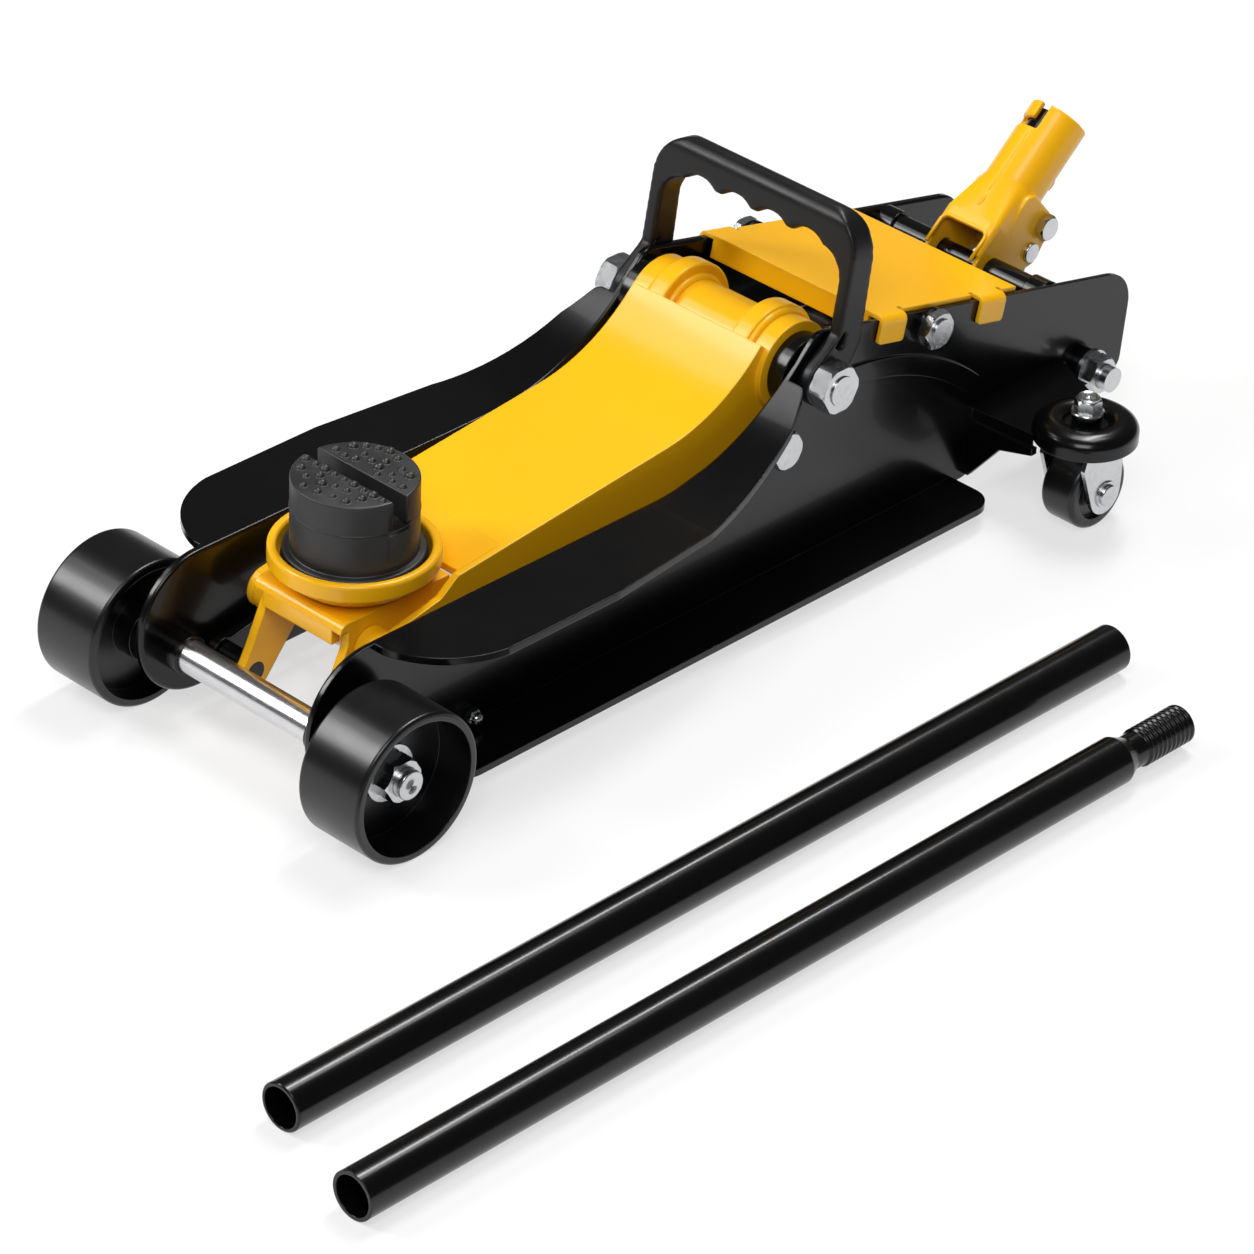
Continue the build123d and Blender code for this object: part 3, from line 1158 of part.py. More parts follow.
def rear_nuts():
    """Washer and nut of each rear stud."""
    seat = PLATE_OUT + REAR_BUSH_LENGTH
    hole = REAR_BOLT_RADIUS + BOLT_FIT
    washer = ring(REAR_BOLT_X, REAR_BOLT_Z, REAR_WASHER_RADIUS, hole, seat, seat + REAR_WASHER_THICK)
    seat = seat + REAR_WASHER_THICK
    fixing = nut(REAR_BOLT_X, REAR_BOLT_Z, TIE_NUT_ACROSS, hole, seat, seat + REAR_NUT_THICK)
    return Compound([washer, fixing, left_of(washer), left_of(fixing)])


def block_spacers():
    """Spacers between the pump block and the plates."""
    hole = REAR_BOLT_RADIUS + BOLT_FIT
    return pair(ring(REAR_BOLT_X, REAR_BOLT_Z, BLOCK_SPACER_RADIUS, hole, BLOCK_HALF_WIDTH, PLATE_IN))


# Cover plate and carry handle
def cover_plate():
    """Cover over the hydraulic unit: deck, turned-down front lip and four hook tabs."""
    lean = radians(TOP_SLOPE)
    place = Plane(
        origin=(COVER_X, 0, top_edge_z(COVER_X)),
        x_dir=(cos(lean), 0, -sin(lean)),
        z_dir=(sin(lean), 0, cos(lean)),
    )
    low_corner = (Align.MIN, Align.CENTER, Align.MIN)
    deck_edge = PLATE_OUT - COVER_INSET
    cover = Box(COVER_LENGTH, 2 * deck_edge, COVER_THICK, align=low_corner)
    for x in (-TAB_RELIEF, TAB_SPACING - TAB_RELIEF):
        for side in (-1, 1):
            notch = Pos(x, side * deck_edge, 0) * Box(
                TAB_WIDTH + 2 * TAB_RELIEF, 2 * TAB_RELIEF, COVER_THICK, align=low_corner
            )
            cover = cover - notch
    lip_width = 2 * (PLATE_IN - COVER_INSET)
    lip = Pos(0, 0, -COVER_LIP) * Box(COVER_THICK, lip_width, COVER_LIP + COVER_THICK, align=low_corner)
    cover = cover + lip
    front_bend = cover.edges().filter_by(Axis.Y).group_by(Axis.X)[0].group_by(Axis.Z)[-1]
    cover = fillet(front_bend, COVER_THICK * 0.9)
    tab_in = PLATE_OUT + END_PLAY
    tab_out = tab_in + COVER_THICK
    middle = (COVER_THICK - TAB_DROP) / 2
    outer = Pos(0, middle) * Rectangle(2 * tab_out, COVER_THICK + TAB_DROP)
    outer = fillet(outer.vertices().group_by(Axis.Y)[-1], TAB_BEND)
    staple = outer - Pos(0, -TAB_DROP / 2) * Rectangle(2 * tab_in, TAB_DROP)
    tabs = extrude(Plane.YZ * staple, amount=TAB_WIDTH)
    tabs = fillet(tabs.edges().filter_by(Axis.Y).group_by(Axis.Z)[0], TAB_ROUND)
    return place * (cover + tabs + Pos(TAB_SPACING, 0, 0) * tabs)


def carry_handle():
    """Black moulded carry handle: two legs on the main shaft and a grip with finger hollows."""
    inner = PLATE_OUT + END_PLAY
    outer = inner + CARRY_LEG_THICK
    base = -CARRY_LUG_RADIUS
    gap_top = CARRY_HEIGHT - CARRY_GRIP_DEPTH
    middle = (base + CARRY_HEIGHT) / 2
    frame = Pos(0, middle) * Rectangle(2 * outer, CARRY_HEIGHT - base)
    frame = fillet(frame.vertices().group_by(Axis.Y)[-1], CARRY_OUTER_ROUND)
    gap = Pos(0, (base + gap_top) / 2) * Rectangle(2 * inner, gap_top - base)
    gap = fillet(gap.vertices().group_by(Axis.Y)[-1], CARRY_INNER_ROUND)
    first = -CARRY_FINGER_PITCH * (CARRY_FINGERS - 1) / 2
    for finger in range(CARRY_FINGERS):
        y = first + finger * CARRY_FINGER_PITCH
        gap = gap + Pos(y, gap_top + CARRY_FINGER_DEPTH - CARRY_FINGER_RADIUS) * Circle(CARRY_FINGER_RADIUS)
    depth = 3 * CARRY_LUG_RADIUS
    bow = extrude(Plane.YZ.offset(-depth) * (frame - gap), amount=2 * depth)
    side = capsule(0, 0, CARRY_LUG_RADIUS, *CARRY_KNEE, CARRY_KNEE_RADIUS)
    top_z = CARRY_HEIGHT - CARRY_TOP_RADIUS
    side = side + capsule(*CARRY_KNEE, CARRY_KNEE_RADIUS, CARRY_TOP_BACK, top_z, CARRY_TOP_RADIUS)
    window = make_face(Polyline(*CARRY_WINDOW, close=True))
    side = side - fillet(window.vertices(), CARRY_WINDOW_ROUND) - Circle(SHAFT_THREAD_RADIUS + BOLT_FIT)
    handle = bow & slab(side, -outer, outer)
    lean = radians(CARRY_LEAN)
    place = Plane(origin=(PIVOT_X, 0, PIVOT_Z), x_dir=(cos(lean), 0, -sin(lean)), z_dir=(sin(lean), 0, cos(lean)))
    return place * handle


# Rear casters
def caster_dome():
    """Ring-shaped dome of the right caster bracket, with a well round its bolt boss."""
    crest = DOME_Z + DOME_HEIGHT
    well = crest - DOME_WELL_DEPTH
    shoulder = DOME_Z + DOME_BAND
    outside = EllipticalCenterArc(
        (DOME_CREST_RADIUS, shoulder),
        DOME_RADIUS - DOME_CREST_RADIUS,
        crest - shoulder,
        start_angle=0,
        arc_size=90,
    )
    inside = EllipticalCenterArc(
        (DOME_CREST_RADIUS, well),
        DOME_CREST_RADIUS - DOME_WELL_RADIUS,
        crest - well,
        start_angle=90,
        arc_size=90,
    )
    rest = Polyline(
        (DOME_WELL_RADIUS, well),
        (DOME_BOSS_RADIUS, well),
        (DOME_BOSS_RADIUS, crest + DOME_BOSS_RISE),
        (0, crest + DOME_BOSS_RISE),
        (0, DOME_Z),
        (DOME_RADIUS, DOME_Z),
        (DOME_RADIUS, shoulder),
    )
    profile = make_face([outside, inside] + rest.edges())
    return Pos(CASTER_X, CASTER_Y, 0) * revolve(Plane.XZ * profile, Axis.Z)


def caster_bracket():
    """Right caster bracket: domed seat, deck, foot on the side plate, front gusset and rear skirt."""
    boss_top = DOME_Z + DOME_HEIGHT + DOME_BOSS_RISE
    dome = caster_dome()
    front = CASTER_X - BRACKET_FRONT_RUN
    rear = CASTER_X + BRACKET_REAR_RUN
    deck_face = make_face(
        Polyline(
            (front, PLATE_OUT),
            (rear, PLATE_OUT),
            (CASTER_X + DOME_RADIUS * 0.8, CASTER_Y),
            (CASTER_X - DOME_RADIUS * 0.8, CASTER_Y),
            close=True,
        )
    )
    deck_top = DOME_Z + BRACKET_DECK_RISE
    deck = extrude(Plane.XY.offset(deck_top - BRACKET_DECK) * deck_face, amount=BRACKET_DECK)
    deck = deck - post(CASTER_X, CASTER_Y, DOME_RADIUS, 0, DOME_Z)
    foot = block(front, rear, PLATE_OUT, PLATE_OUT + PLATE_THICK, BRACKET_FOOT_Z, deck_top)
    gusset_face = make_face(
        Polyline(
            (PLATE_OUT, BRACKET_GUSSET_Z),
            (PLATE_OUT + PLATE_THICK, BRACKET_GUSSET_Z),
            (PLATE_OUT + BRACKET_KNEE_RUN, BRACKET_KNEE_Z),
            (PLATE_OUT + BRACKET_GUSSET_RUN, BRACKET_GUSSET_END_Z),
            (PLATE_OUT + BRACKET_GUSSET_RUN, deck_top - BRACKET_DECK),
            (PLATE_OUT, deck_top - BRACKET_DECK),
            close=True,
        )
    )
    gusset = extrude(Plane.YZ.offset(front) * gusset_face, amount=PLATE_THICK)
    skirt_face = make_face(
        Polyline(
            (PLATE_OUT, BRACKET_FOOT_Z),
            (PLATE_OUT + PLATE_THICK, BRACKET_FOOT_Z),
            (PLATE_OUT + BRACKET_SKIRT_RUN, deck_top - BRACKET_DECK),
            (PLATE_OUT, deck_top - BRACKET_DECK),
            close=True,
        )
    )
    rear_skirt = extrude(Plane.YZ.offset(rear - PLATE_THICK) * skirt_face, amount=PLATE_THICK)
    body = dome + deck + foot + gusset + rear_skirt
    return body - post(CASTER_X, CASTER_Y, KINGPIN_RADIUS + BOLT_FIT, DOME_Z - 1, boss_top + 1)


def caster_fork():
    """Right caster fork: swivel deck and two ears for the wheel axle."""
    deck = post(CASTER_X, CASTER_Y, FORK_DECK_RADIUS, FORK_DECK_Z, FORK_DECK_Z + FORK_WALL)
    ear = Pos(CASTER_WHEEL_X, CASTER_WHEEL_RADIUS) * Circle(FORK_EAR_RADIUS)
    edges = ear.edges()
    for x, z in FORK_EAR_SPOTS:
        corner = Pos(CASTER_WHEEL_X + x, CASTER_WHEEL_RADIUS + z) * Circle(FORK_EAR_CORNER)
        edges = edges + corner.edges()
    ear_face = make_hull(edges)
    ear_face = ear_face - Pos(CASTER_WHEEL_X, CASTER_WHEEL_RADIUS) * Circle(CASTER_AXLE_RADIUS + BOLT_FIT)
    ears = slab(ear_face, CASTER_Y + FORK_INNER, CASTER_Y + FORK_OUTER)
    ears = ears + slab(ear_face, CASTER_Y - FORK_OUTER, CASTER_Y - FORK_INNER)
    fork = deck + ears
    return fork - post(CASTER_X, CASTER_Y, KINGPIN_RADIUS + RUNNING_FIT, FORK_DECK_Z - 1, DOME_Z + 1)


def caster_wheel():
    """Right caster wheel with a dished face on each side."""
    half = CASTER_WHEEL_WIDTH / 2
    wheel = pin(CASTER_WHEEL_X, CASTER_WHEEL_RADIUS, CASTER_WHEEL_RADIUS, CASTER_Y - half, CASTER_Y + half)
    wheel = fillet(wheel.edges().filter_by(GeomType.CIRCLE), CASTER_DISH)
    dish = CASTER_WHEEL_RADIUS - 2 * CASTER_DISH
    for low, high in ((half - CASTER_DISH, half), (-half, CASTER_DISH - half)):
        wheel = wheel - ring(
            CASTER_WHEEL_X, CASTER_WHEEL_RADIUS, dish, CASTER_HUB_RADIUS, CASTER_Y + low, CASTER_Y + high
        )
    bore = CASTER_AXLE_RADIUS + RUNNING_FIT
    return wheel - pin(CASTER_WHEEL_X, CASTER_WHEEL_RADIUS, bore, CASTER_Y - half, CASTER_Y + half)


def caster_axle():
    """Riveted axle of the right caster wheel."""
    reach = FORK_OUTER
    shank = pin(CASTER_WHEEL_X, CASTER_WHEEL_RADIUS, CASTER_AXLE_RADIUS, CASTER_Y - reach, CASTER_Y + reach)
    head_out = CASTER_Y + reach + CASTER_AXLE_HEAD / 2
    head = pin(CASTER_WHEEL_X, CASTER_WHEEL_RADIUS, CASTER_AXLE_HEAD, CASTER_Y + reach, head_out)
    head = fillet(head.edges().filter_by(GeomType.CIRCLE).sort_by(Axis.Y)[-1], 2 * EDGE_BREAK)
    tail_in = CASTER_Y - reach - CASTER_AXLE_HEAD / 2
    tail = pin(CASTER_WHEEL_X, CASTER_WHEEL_RADIUS, CASTER_AXLE_HEAD, tail_in, CASTER_Y - reach)
    return shank + head + tail


def kingpin():
    """Swivel bolt of the right caster, with its head under the fork deck."""
    head_top = FORK_DECK_Z - END_PLAY
    nut_top = DOME_Z + DOME_HEIGHT + DOME_BOSS_RISE + CASTER_NUT_THICK
    shank = post(CASTER_X, CASTER_Y, KINGPIN_RADIUS, head_top, nut_top + EDGE_BREAK)
    return shank + post(CASTER_X, CASTER_Y, KINGPIN_HEAD_RADIUS, head_top - KINGPIN_HEAD_THICK, head_top)


def caster_nut():
    """Nut on top of the right caster bracket."""
    seat = DOME_Z + DOME_HEIGHT + DOME_BOSS_RISE
    face = RegularPolygon(CASTER_NUT_ACROSS / 2, 6, major_radius=False)
    body = extrude(Plane.XY.offset(seat) * Pos(CASTER_X, CASTER_Y) * face, amount=CASTER_NUT_THICK)
    turned = post(CASTER_X, CASTER_Y, CASTER_NUT_ACROSS / sqrt(3), seat, seat + CASTER_NUT_THICK)
    turned = chamfer(turned.edges().filter_by(GeomType.CIRCLE), NUT_CHAMFER)
    return (body & turned) - post(CASTER_X, CASTER_Y, KINGPIN_RADIUS + BOLT_FIT, seat, seat + CASTER_NUT_THICK)


# Handle rods
def handle_rod():
    """Plain handle tube."""
    tube = bar_x(ROD_Y, ROD_RADIUS, ROD_RADIUS, ROD_FRONT_X, ROD_FRONT_X + ROD_LENGTH)
    tube = chamfer(tube.edges().filter_by(GeomType.CIRCLE), EDGE_BREAK)
    return tube - bar_x(ROD_Y, ROD_RADIUS, ROD_RADIUS - ROD_WALL, ROD_FRONT_X, ROD_FRONT_X + ROD_LENGTH)


def tip_rod():
    """Handle tube with a tapered shoulder, a neck and a ribbed end that fits the other tube."""
    tube_end = TIP_ROD_FRONT_X + TIP_ROD_LENGTH
    shoulder_end = tube_end + TIP_SHOULDER
    neck_end = shoulder_end + TIP_NECK_LENGTH
    points = [
        (TIP_ROD_FRONT_X, 0),
        (TIP_ROD_FRONT_X, ROD_RADIUS),
        (tube_end, ROD_RADIUS),
        (shoulder_end, TIP_NECK_RADIUS),
        (neck_end, TIP_NECK_RADIUS),
    ]
    for rib in range(TIP_RIB_COUNT):
        x = neck_end + rib * TIP_RIB_PITCH
        points.append((x + TIP_RIB_PITCH * 0.3, TIP_RIB_RADIUS))
        points.append((x + TIP_RIB_PITCH * 0.7, TIP_RIB_RADIUS))
        points.append((x + TIP_RIB_PITCH, TIP_NECK_RADIUS))
    points.append((neck_end + TIP_RIB_COUNT * TIP_RIB_PITCH, 0))
    turned = revolve(make_face(Polyline(*points, close=True)), Axis.X)
    bore_radius = ROD_RADIUS - ROD_WALL
    hollow = bar_x(0, 0, bore_radius, TIP_ROD_FRONT_X, tube_end - ROD_RADIUS)
    return Pos(0, TIP_ROD_Y, ROD_RADIUS) * (turned - hollow)


RIGHT_AND_LEFT = {
    "side_plate": side_plate,
    "front_wheel": front_wheel,
    "link_rod": link_rod,
    "caster_bracket": caster_bracket,
    "caster_fork": caster_fork,
    "caster_wheel": caster_wheel,
    "caster_axle": caster_axle,
}

SINGLE = {
    "front_axle": front_axle,
    "axle_fasteners": axle_fasteners,
    "axle_collars": axle_collars,
    "lift_arm": lift_arm,
    "main_shaft": main_shaft,
    "pivot_spacers": pivot_spacers,
    "pivot_nuts": pivot_nuts,
    "horn_pin": horn_pin,
    "ram_roller": ram_roller,
    "saddle_yoke": saddle_yoke,
    "saddle_pin": saddle_pin,
    "saddle_pin_sleeves": saddle_pin_sleeves,
    "saddle_cup": saddle_cup,
    "saddle_retainer": saddle_retainer,
    "rubber_pad": rubber_pad,
    "link_front_pin": link_front_pin,
    "link_bolts": link_bolts,
    "ram_rod": ram_rod,
    "gland_nut": gland_nut,
    "ram_cylinder": ram_cylinder,
    "filler_plug": filler_plug,
    "pump_block": pump_block,
    "release_valve": release_valve,
    "pump_plunger": pump_plunger,
    "pump_spring": pump_spring,
    "return_springs": return_springs,
    "handle_socket": handle_socket,
    "socket_shaft": socket_shaft,
    "socket_collars": socket_collars,
    "socket_sleeves": socket_sleeves,
    "pump_roller": pump_roller,
    "pump_roller_pin": pump_roller_pin,
    "lock_bolt": lock_bolt,
    "tie_rods": tie_rods,
    "bolt_bushes": bolt_bushes,
    "tie_nuts": tie_nuts,
    "rear_bolts": rear_bolts,
    "rear_nuts": rear_nuts,
    "block_spacers": block_spacers,
    "cover_plate": cover_plate,
    "carry_handle": carry_handle,
    "handle_rod": handle_rod,
    "tip_rod": tip_rod,
}


def main():
    """Write one STEP file for each node."""
    os.makedirs("parts", exist_ok=True)
    for name, make in SINGLE.items():
        export_step(make(), f"parts/{name}.step")
    for name, make in RIGHT_AND_LEFT.items():
        right = make()
        export_step(right, f"parts/{name}_right.step")
        export_step(left_of(right), f"parts/{name}_left.step")
    export_step(pair(kingpin()), "parts/caster_kingpins.step")
    export_step(pair(caster_nut()), "parts/caster_nuts.step")


main()
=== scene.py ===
"""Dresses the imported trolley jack: paint, plating, rubber, small details, light and camera."""

from __future__ import annotations

import json
import logging
import math
import random
from abc import ABC, abstractmethod
from dataclasses import dataclass, field
from enum import Enum

import bmesh
import bpy
from mathutils import Matrix, Vector

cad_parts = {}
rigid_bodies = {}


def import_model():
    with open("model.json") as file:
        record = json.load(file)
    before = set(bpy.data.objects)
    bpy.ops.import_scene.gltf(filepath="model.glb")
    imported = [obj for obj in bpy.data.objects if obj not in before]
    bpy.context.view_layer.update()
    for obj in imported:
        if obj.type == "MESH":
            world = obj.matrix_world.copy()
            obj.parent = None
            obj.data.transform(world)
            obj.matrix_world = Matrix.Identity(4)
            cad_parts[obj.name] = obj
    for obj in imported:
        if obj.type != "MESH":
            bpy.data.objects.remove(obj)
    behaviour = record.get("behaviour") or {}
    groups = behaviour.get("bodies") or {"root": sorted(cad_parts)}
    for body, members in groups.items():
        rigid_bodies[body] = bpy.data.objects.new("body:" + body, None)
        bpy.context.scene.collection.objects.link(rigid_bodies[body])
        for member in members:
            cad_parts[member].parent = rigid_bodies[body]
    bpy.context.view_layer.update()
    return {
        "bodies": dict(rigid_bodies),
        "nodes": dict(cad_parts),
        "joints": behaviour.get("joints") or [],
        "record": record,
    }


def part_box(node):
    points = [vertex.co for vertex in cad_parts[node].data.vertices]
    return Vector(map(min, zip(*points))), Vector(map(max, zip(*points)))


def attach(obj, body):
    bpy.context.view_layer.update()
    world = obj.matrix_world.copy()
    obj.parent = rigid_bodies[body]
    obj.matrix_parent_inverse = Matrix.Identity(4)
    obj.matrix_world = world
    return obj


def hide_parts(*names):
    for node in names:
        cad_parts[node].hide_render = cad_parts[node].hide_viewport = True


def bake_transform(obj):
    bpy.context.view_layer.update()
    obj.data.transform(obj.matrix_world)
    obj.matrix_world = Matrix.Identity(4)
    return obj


LOG = logging.getLogger("trolley_jack")
# Radius of the hole left in the middle of a turned face, where its points would meet
CORE = 0.0002
# Depth by which an added piece sinks into what carries it
SINK = 0.0002
ARC_STEPS = 6
CREASE_ANGLE = math.radians(35)

Colour = tuple[float, float, float, float]
Point = tuple[float, float, float]
Profile = list[tuple[float, float]]


class Skin(Enum):
    """Surface effects that several finishes share, one shader node group each."""

    PAINT = "paint_skin"
    METAL = "metal_skin"
    MOULDED = "moulded_skin"


class Side(Enum):
    """The two sides of the jack, as signs along Y."""

    LEFT = -1
    RIGHT = 1


def rgb(red: float, green: float, blue: float) -> Colour:
    """Opaque linear colour."""
    return (red, green, blue, 1.0)


class GroupMaker:
    """Builds one shader node group with named sockets."""

    # Places of a mix node's colour sockets, whose names its other kinds share
    COLOUR_A = 6
    COLOUR_B = 7
    COLOUR_RESULT = 2
    BEVEL_SAMPLES = 8
    # Agreement of the rounded and the real normal, on a flat and on a sharp edge
    FLAT = 0.97
    SHARP = 0.7

    def __init__(self, name: str) -> None:
        """Start an empty group.

        Args:
            name: Name of the new node group.
        """
        self.tree = bpy.data.node_groups.new(name, "ShaderNodeTree")
        self.entry = self.tree.nodes.new("NodeGroupInput")
        self.exit = self.tree.nodes.new("NodeGroupOutput")

    def take(self, name: str, kind: str, default: object) -> bpy.types.NodeSocket:
        """Add an input.

        Args:
            name: Name of the socket.
            kind: Type of the socket.
            default: Value where nothing is set.

        Returns:
            The socket inside the group that carries the value.
        """
        socket = self.tree.interface.new_socket(name=name, in_out="INPUT", socket_type=kind)
        socket.default_value = default
        return self.entry.outputs[name]

    def give(self, name: str, kind: str, source: bpy.types.NodeSocket) -> None:
        """Add an output.

        Args:
            name: Name of the socket.
            kind: Type of the socket.
            source: Socket inside the group that feeds it.
        """
        self.tree.interface.new_socket(name=name, in_out="OUTPUT", socket_type=kind)
        self.link(source, self.exit.inputs[name])

    def link(self, source: bpy.types.NodeSocket, target: bpy.types.NodeSocket) -> None:
        """Join two sockets."""
        self.tree.links.new(source, target)

    def place(self) -> bpy.types.NodeSocket:
        """Coordinates in the jack's own frame, in metres."""
        return self.tree.nodes.new("ShaderNodeTexCoord").outputs["Object"]

    def noise(self, place: bpy.types.NodeSocket, scale: object, detail: float) -> bpy.types.NodeSocket:
        """Add a noise texture.

        Args:
            place: Coordinates to read.
            scale: Number, or a socket that carries one.
            detail: Number of finer layers.

        Returns:
            The noise value.
        """
        node = self.tree.nodes.new("ShaderNodeTexNoise")
        node.inputs["Detail"].default_value = detail
        self.link(place, node.inputs["Vector"])
        self.feed(scale, node.inputs["Scale"])
        return node.outputs["Fac"]

    def feed(self, value: object, target: bpy.types.NodeSocket) -> None:
        """Link a socket, or set a plain value."""
        if isinstance(value, bpy.types.NodeSocket):
            self.link(value, target)
        else:
            target.default_value = value

    def sum(self, kind: str, first: object, second: object) -> bpy.types.NodeSocket:
        """Add a math node.

        Args:
            kind: Operation of the node.
            first: Number or socket.
            second: Number or socket.

        Returns:
            The result.
        """
        node = self.tree.nodes.new("ShaderNodeMath")
        node.operation = kind
        self.feed(first, node.inputs[0])
        self.feed(second, node.inputs[1])
        return node.outputs["Value"]

    def between(
        self, value: object, low: float, high: float, to_low: object = 0.0, to_high: object = 1.0
    ) -> bpy.types.NodeSocket:
        """Map a value from one range to another, clamped.

        Args:
            value: Socket to map.
            low: Low end of the range read.
            high: High end of the range read.
            to_low: Result at the low end.
            to_high: Result at the high end.

        Returns:
            The mapped value.
        """
        node = self.tree.nodes.new("ShaderNodeMapRange")
        self.feed(value, node.inputs["Value"])
        node.inputs["From Min"].default_value = low
        node.inputs["From Max"].default_value = high
        self.feed(to_low, node.inputs["To Min"])
        self.feed(to_high, node.inputs["To Max"])
        return node.outputs["Result"]

    def blend(self, part: bpy.types.NodeSocket, first: object, second: object) -> bpy.types.NodeSocket:
        """Mix two colours.

        Args:
            part: Share of the second colour.
            first: Colour or socket.
            second: Colour or socket.

        Returns:
            The mixed colour.
        """
        node = self.tree.nodes.new("ShaderNodeMix")
        node.data_type = "RGBA"
        self.link(part, node.inputs["Factor"])
        self.feed(first, node.inputs[self.COLOUR_A])
        self.feed(second, node.inputs[self.COLOUR_B])
        return node.outputs[self.COLOUR_RESULT]

    def edges(self, width: object) -> bpy.types.NodeSocket:
        """Round off sharp edges: gives the group a rounded normal and makes a mask of the edges.

        Args:
            width: Width of the edge in metres, number or socket.

        Returns:
            The mask, which is 1 on sharp edges.
        """
        bevel = self.tree.nodes.new("ShaderNodeBevel")
        bevel.samples = self.BEVEL_SAMPLES
        self.feed(width, bevel.inputs["Radius"])
        self.give("Rounded Normal", "NodeSocketVector", bevel.outputs["Normal"])
        geometry = self.tree.nodes.new("ShaderNodeNewGeometry")
        dot = self.tree.nodes.new("ShaderNodeVectorMath")
        dot.operation = "DOT_PRODUCT"
        self.link(bevel.outputs["Normal"], dot.inputs[0])
        self.link(geometry.outputs["Normal"], dot.inputs[1])
        return self.between(dot.outputs["Value"], self.FLAT, self.SHARP)


def paint_skin() -> bpy.types.NodeTree:
    """Baked gloss paint: orange peel, faint unevenness, and paler edges that are partly thin paint and partly
    a painted highlight.

    Returns:
        The node group.
    """
    maker = GroupMaker(Skin.PAINT.value)
    tint = maker.take("Tint", "NodeSocketColor", rgb(0.5, 0.5, 0.5))
    # Paler tint for the edges: thin paint and a painted highlight
    thin_and_highlight_tint = maker.take("Thin Tint", "NodeSocketColor", rgb(0.6, 0.6, 0.6))
    deep = maker.take("Deep Tint", "NodeSocketColor", rgb(0.4, 0.4, 0.4))
    peel = maker.take("Peel Scale", "NodeSocketFloat", 420.0)
    edge = maker.take("Edge Width", "NodeSocketFloat", 0.0009)
    rough = maker.take("Smooth Roughness", "NodeSocketFloat", 0.2)
    spread = maker.take("Roughness Spread", "NodeSocketFloat", 0.06)
    place = maker.place()
    cloud = maker.noise(place, 9.0, 2.0)
    base = maker.blend(maker.between(cloud, 0.35, 0.7), tint, deep)
    scuff = maker.noise(place, 70.0, 3.0)
    # Paler colour along the edges: partly thin paint, partly a painted highlight on the edges
    thin_paint_and_highlight = maker.sum("MULTIPLY", maker.edges(edge), maker.between(scuff, 0.3, 0.6, 0.35, 1.0))
    maker.give("Color", "NodeSocketColor", maker.blend(thin_paint_and_highlight, base, thin_and_highlight_tint))
    uneven = maker.sum("MULTIPLY", maker.between(scuff, 0.3, 0.75), spread)
    maker.give("Roughness", "NodeSocketFloat", maker.sum("ADD", rough, uneven))
    maker.give("Height", "NodeSocketFloat", maker.noise(place, peel, 2.0))
    return maker.tree


def metal_skin() -> bpy.types.NodeTree:
    """Plated or ground metal: fine streaks along one way, cloudy brightness and bright edges.

    Returns:
        The node group.
    """
    maker = GroupMaker(Skin.METAL.value)
    tint = maker.take("Tint", "NodeSocketColor", rgb(0.7, 0.7, 0.7))
    dull = maker.take("Dull Tint", "NodeSocketColor", rgb(0.5, 0.5, 0.5))
    stretch = maker.take("Stretch", "NodeSocketVector", (1.0, 1.0, 1.0))
    scale = maker.take("Streak Scale", "NodeSocketFloat", 300.0)
    rough = maker.take("Smooth Roughness", "NodeSocketFloat", 0.2)
    spread = maker.take("Roughness Spread", "NodeSocketFloat", 0.1)
    edge = maker.take("Edge Width", "NodeSocketFloat", 0.0005)
    place = maker.place()
    pulled = maker.tree.nodes.new("ShaderNodeVectorMath")
    pulled.operation = "MULTIPLY"
    maker.link(place, pulled.inputs[0])
    maker.link(stretch, pulled.inputs[1])
    streak = maker.noise(pulled.outputs["Vector"], scale, 3.0)
    cloud = maker.noise(place, 60.0, 3.0)
    cloudy = maker.between(cloud, 0.35, 0.75)
    dim = maker.sum("MULTIPLY", cloudy, maker.between(streak, 0.3, 0.7, 0.3, 1.0))
    base = maker.blend(dim, tint, dull)
    maker.give("Color", "NodeSocketColor", maker.blend(maker.edges(edge), base, tint))
    uneven = maker.sum("MULTIPLY", maker.between(streak, 0.3, 0.7), spread)
    maker.give("Roughness", "NodeSocketFloat", maker.sum("ADD", rough, uneven))
    maker.give("Height", "NodeSocketFloat", streak)
    return maker.tree


def moulded_skin() -> bpy.types.NodeTree:
    """Moulded rubber or plastic: fine grain, scuffs and pale edges.

    Returns:
        The node group.
    """
    maker = GroupMaker(Skin.MOULDED.value)
    tint = maker.take("Tint", "NodeSocketColor", rgb(0.03, 0.03, 0.03))
    pale = maker.take("Pale Tint", "NodeSocketColor", rgb(0.08, 0.08, 0.08))
    grain = maker.take("Grain Scale", "NodeSocketFloat", 1200.0)
    edge = maker.take("Edge Width", "NodeSocketFloat", 0.0012)
    rough = maker.take("Smooth Roughness", "NodeSocketFloat", 0.5)
    spread = maker.take("Roughness Spread", "NodeSocketFloat", 0.15)
    place = maker.place()
    cloud = maker.noise(place, 45.0, 4.0)
    fine = maker.noise(place, grain, 2.0)
    scuffed = maker.sum("MULTIPLY", maker.edges(edge), maker.between(cloud, 0.3, 0.6, 0.2, 0.9))
    dusty = maker.sum("MAXIMUM", scuffed, maker.between(cloud, 0.5, 0.85, 0.0, 0.35))
    maker.give("Color", "NodeSocketColor", maker.blend(dusty, tint, pale))
    uneven = maker.sum("MULTIPLY", maker.between(cloud, 0.3, 0.7), spread)
    maker.give("Roughness", "NodeSocketFloat", maker.sum("ADD", rough, uneven))
    maker.give("Height", "NodeSocketFloat", fine)
    return maker.tree


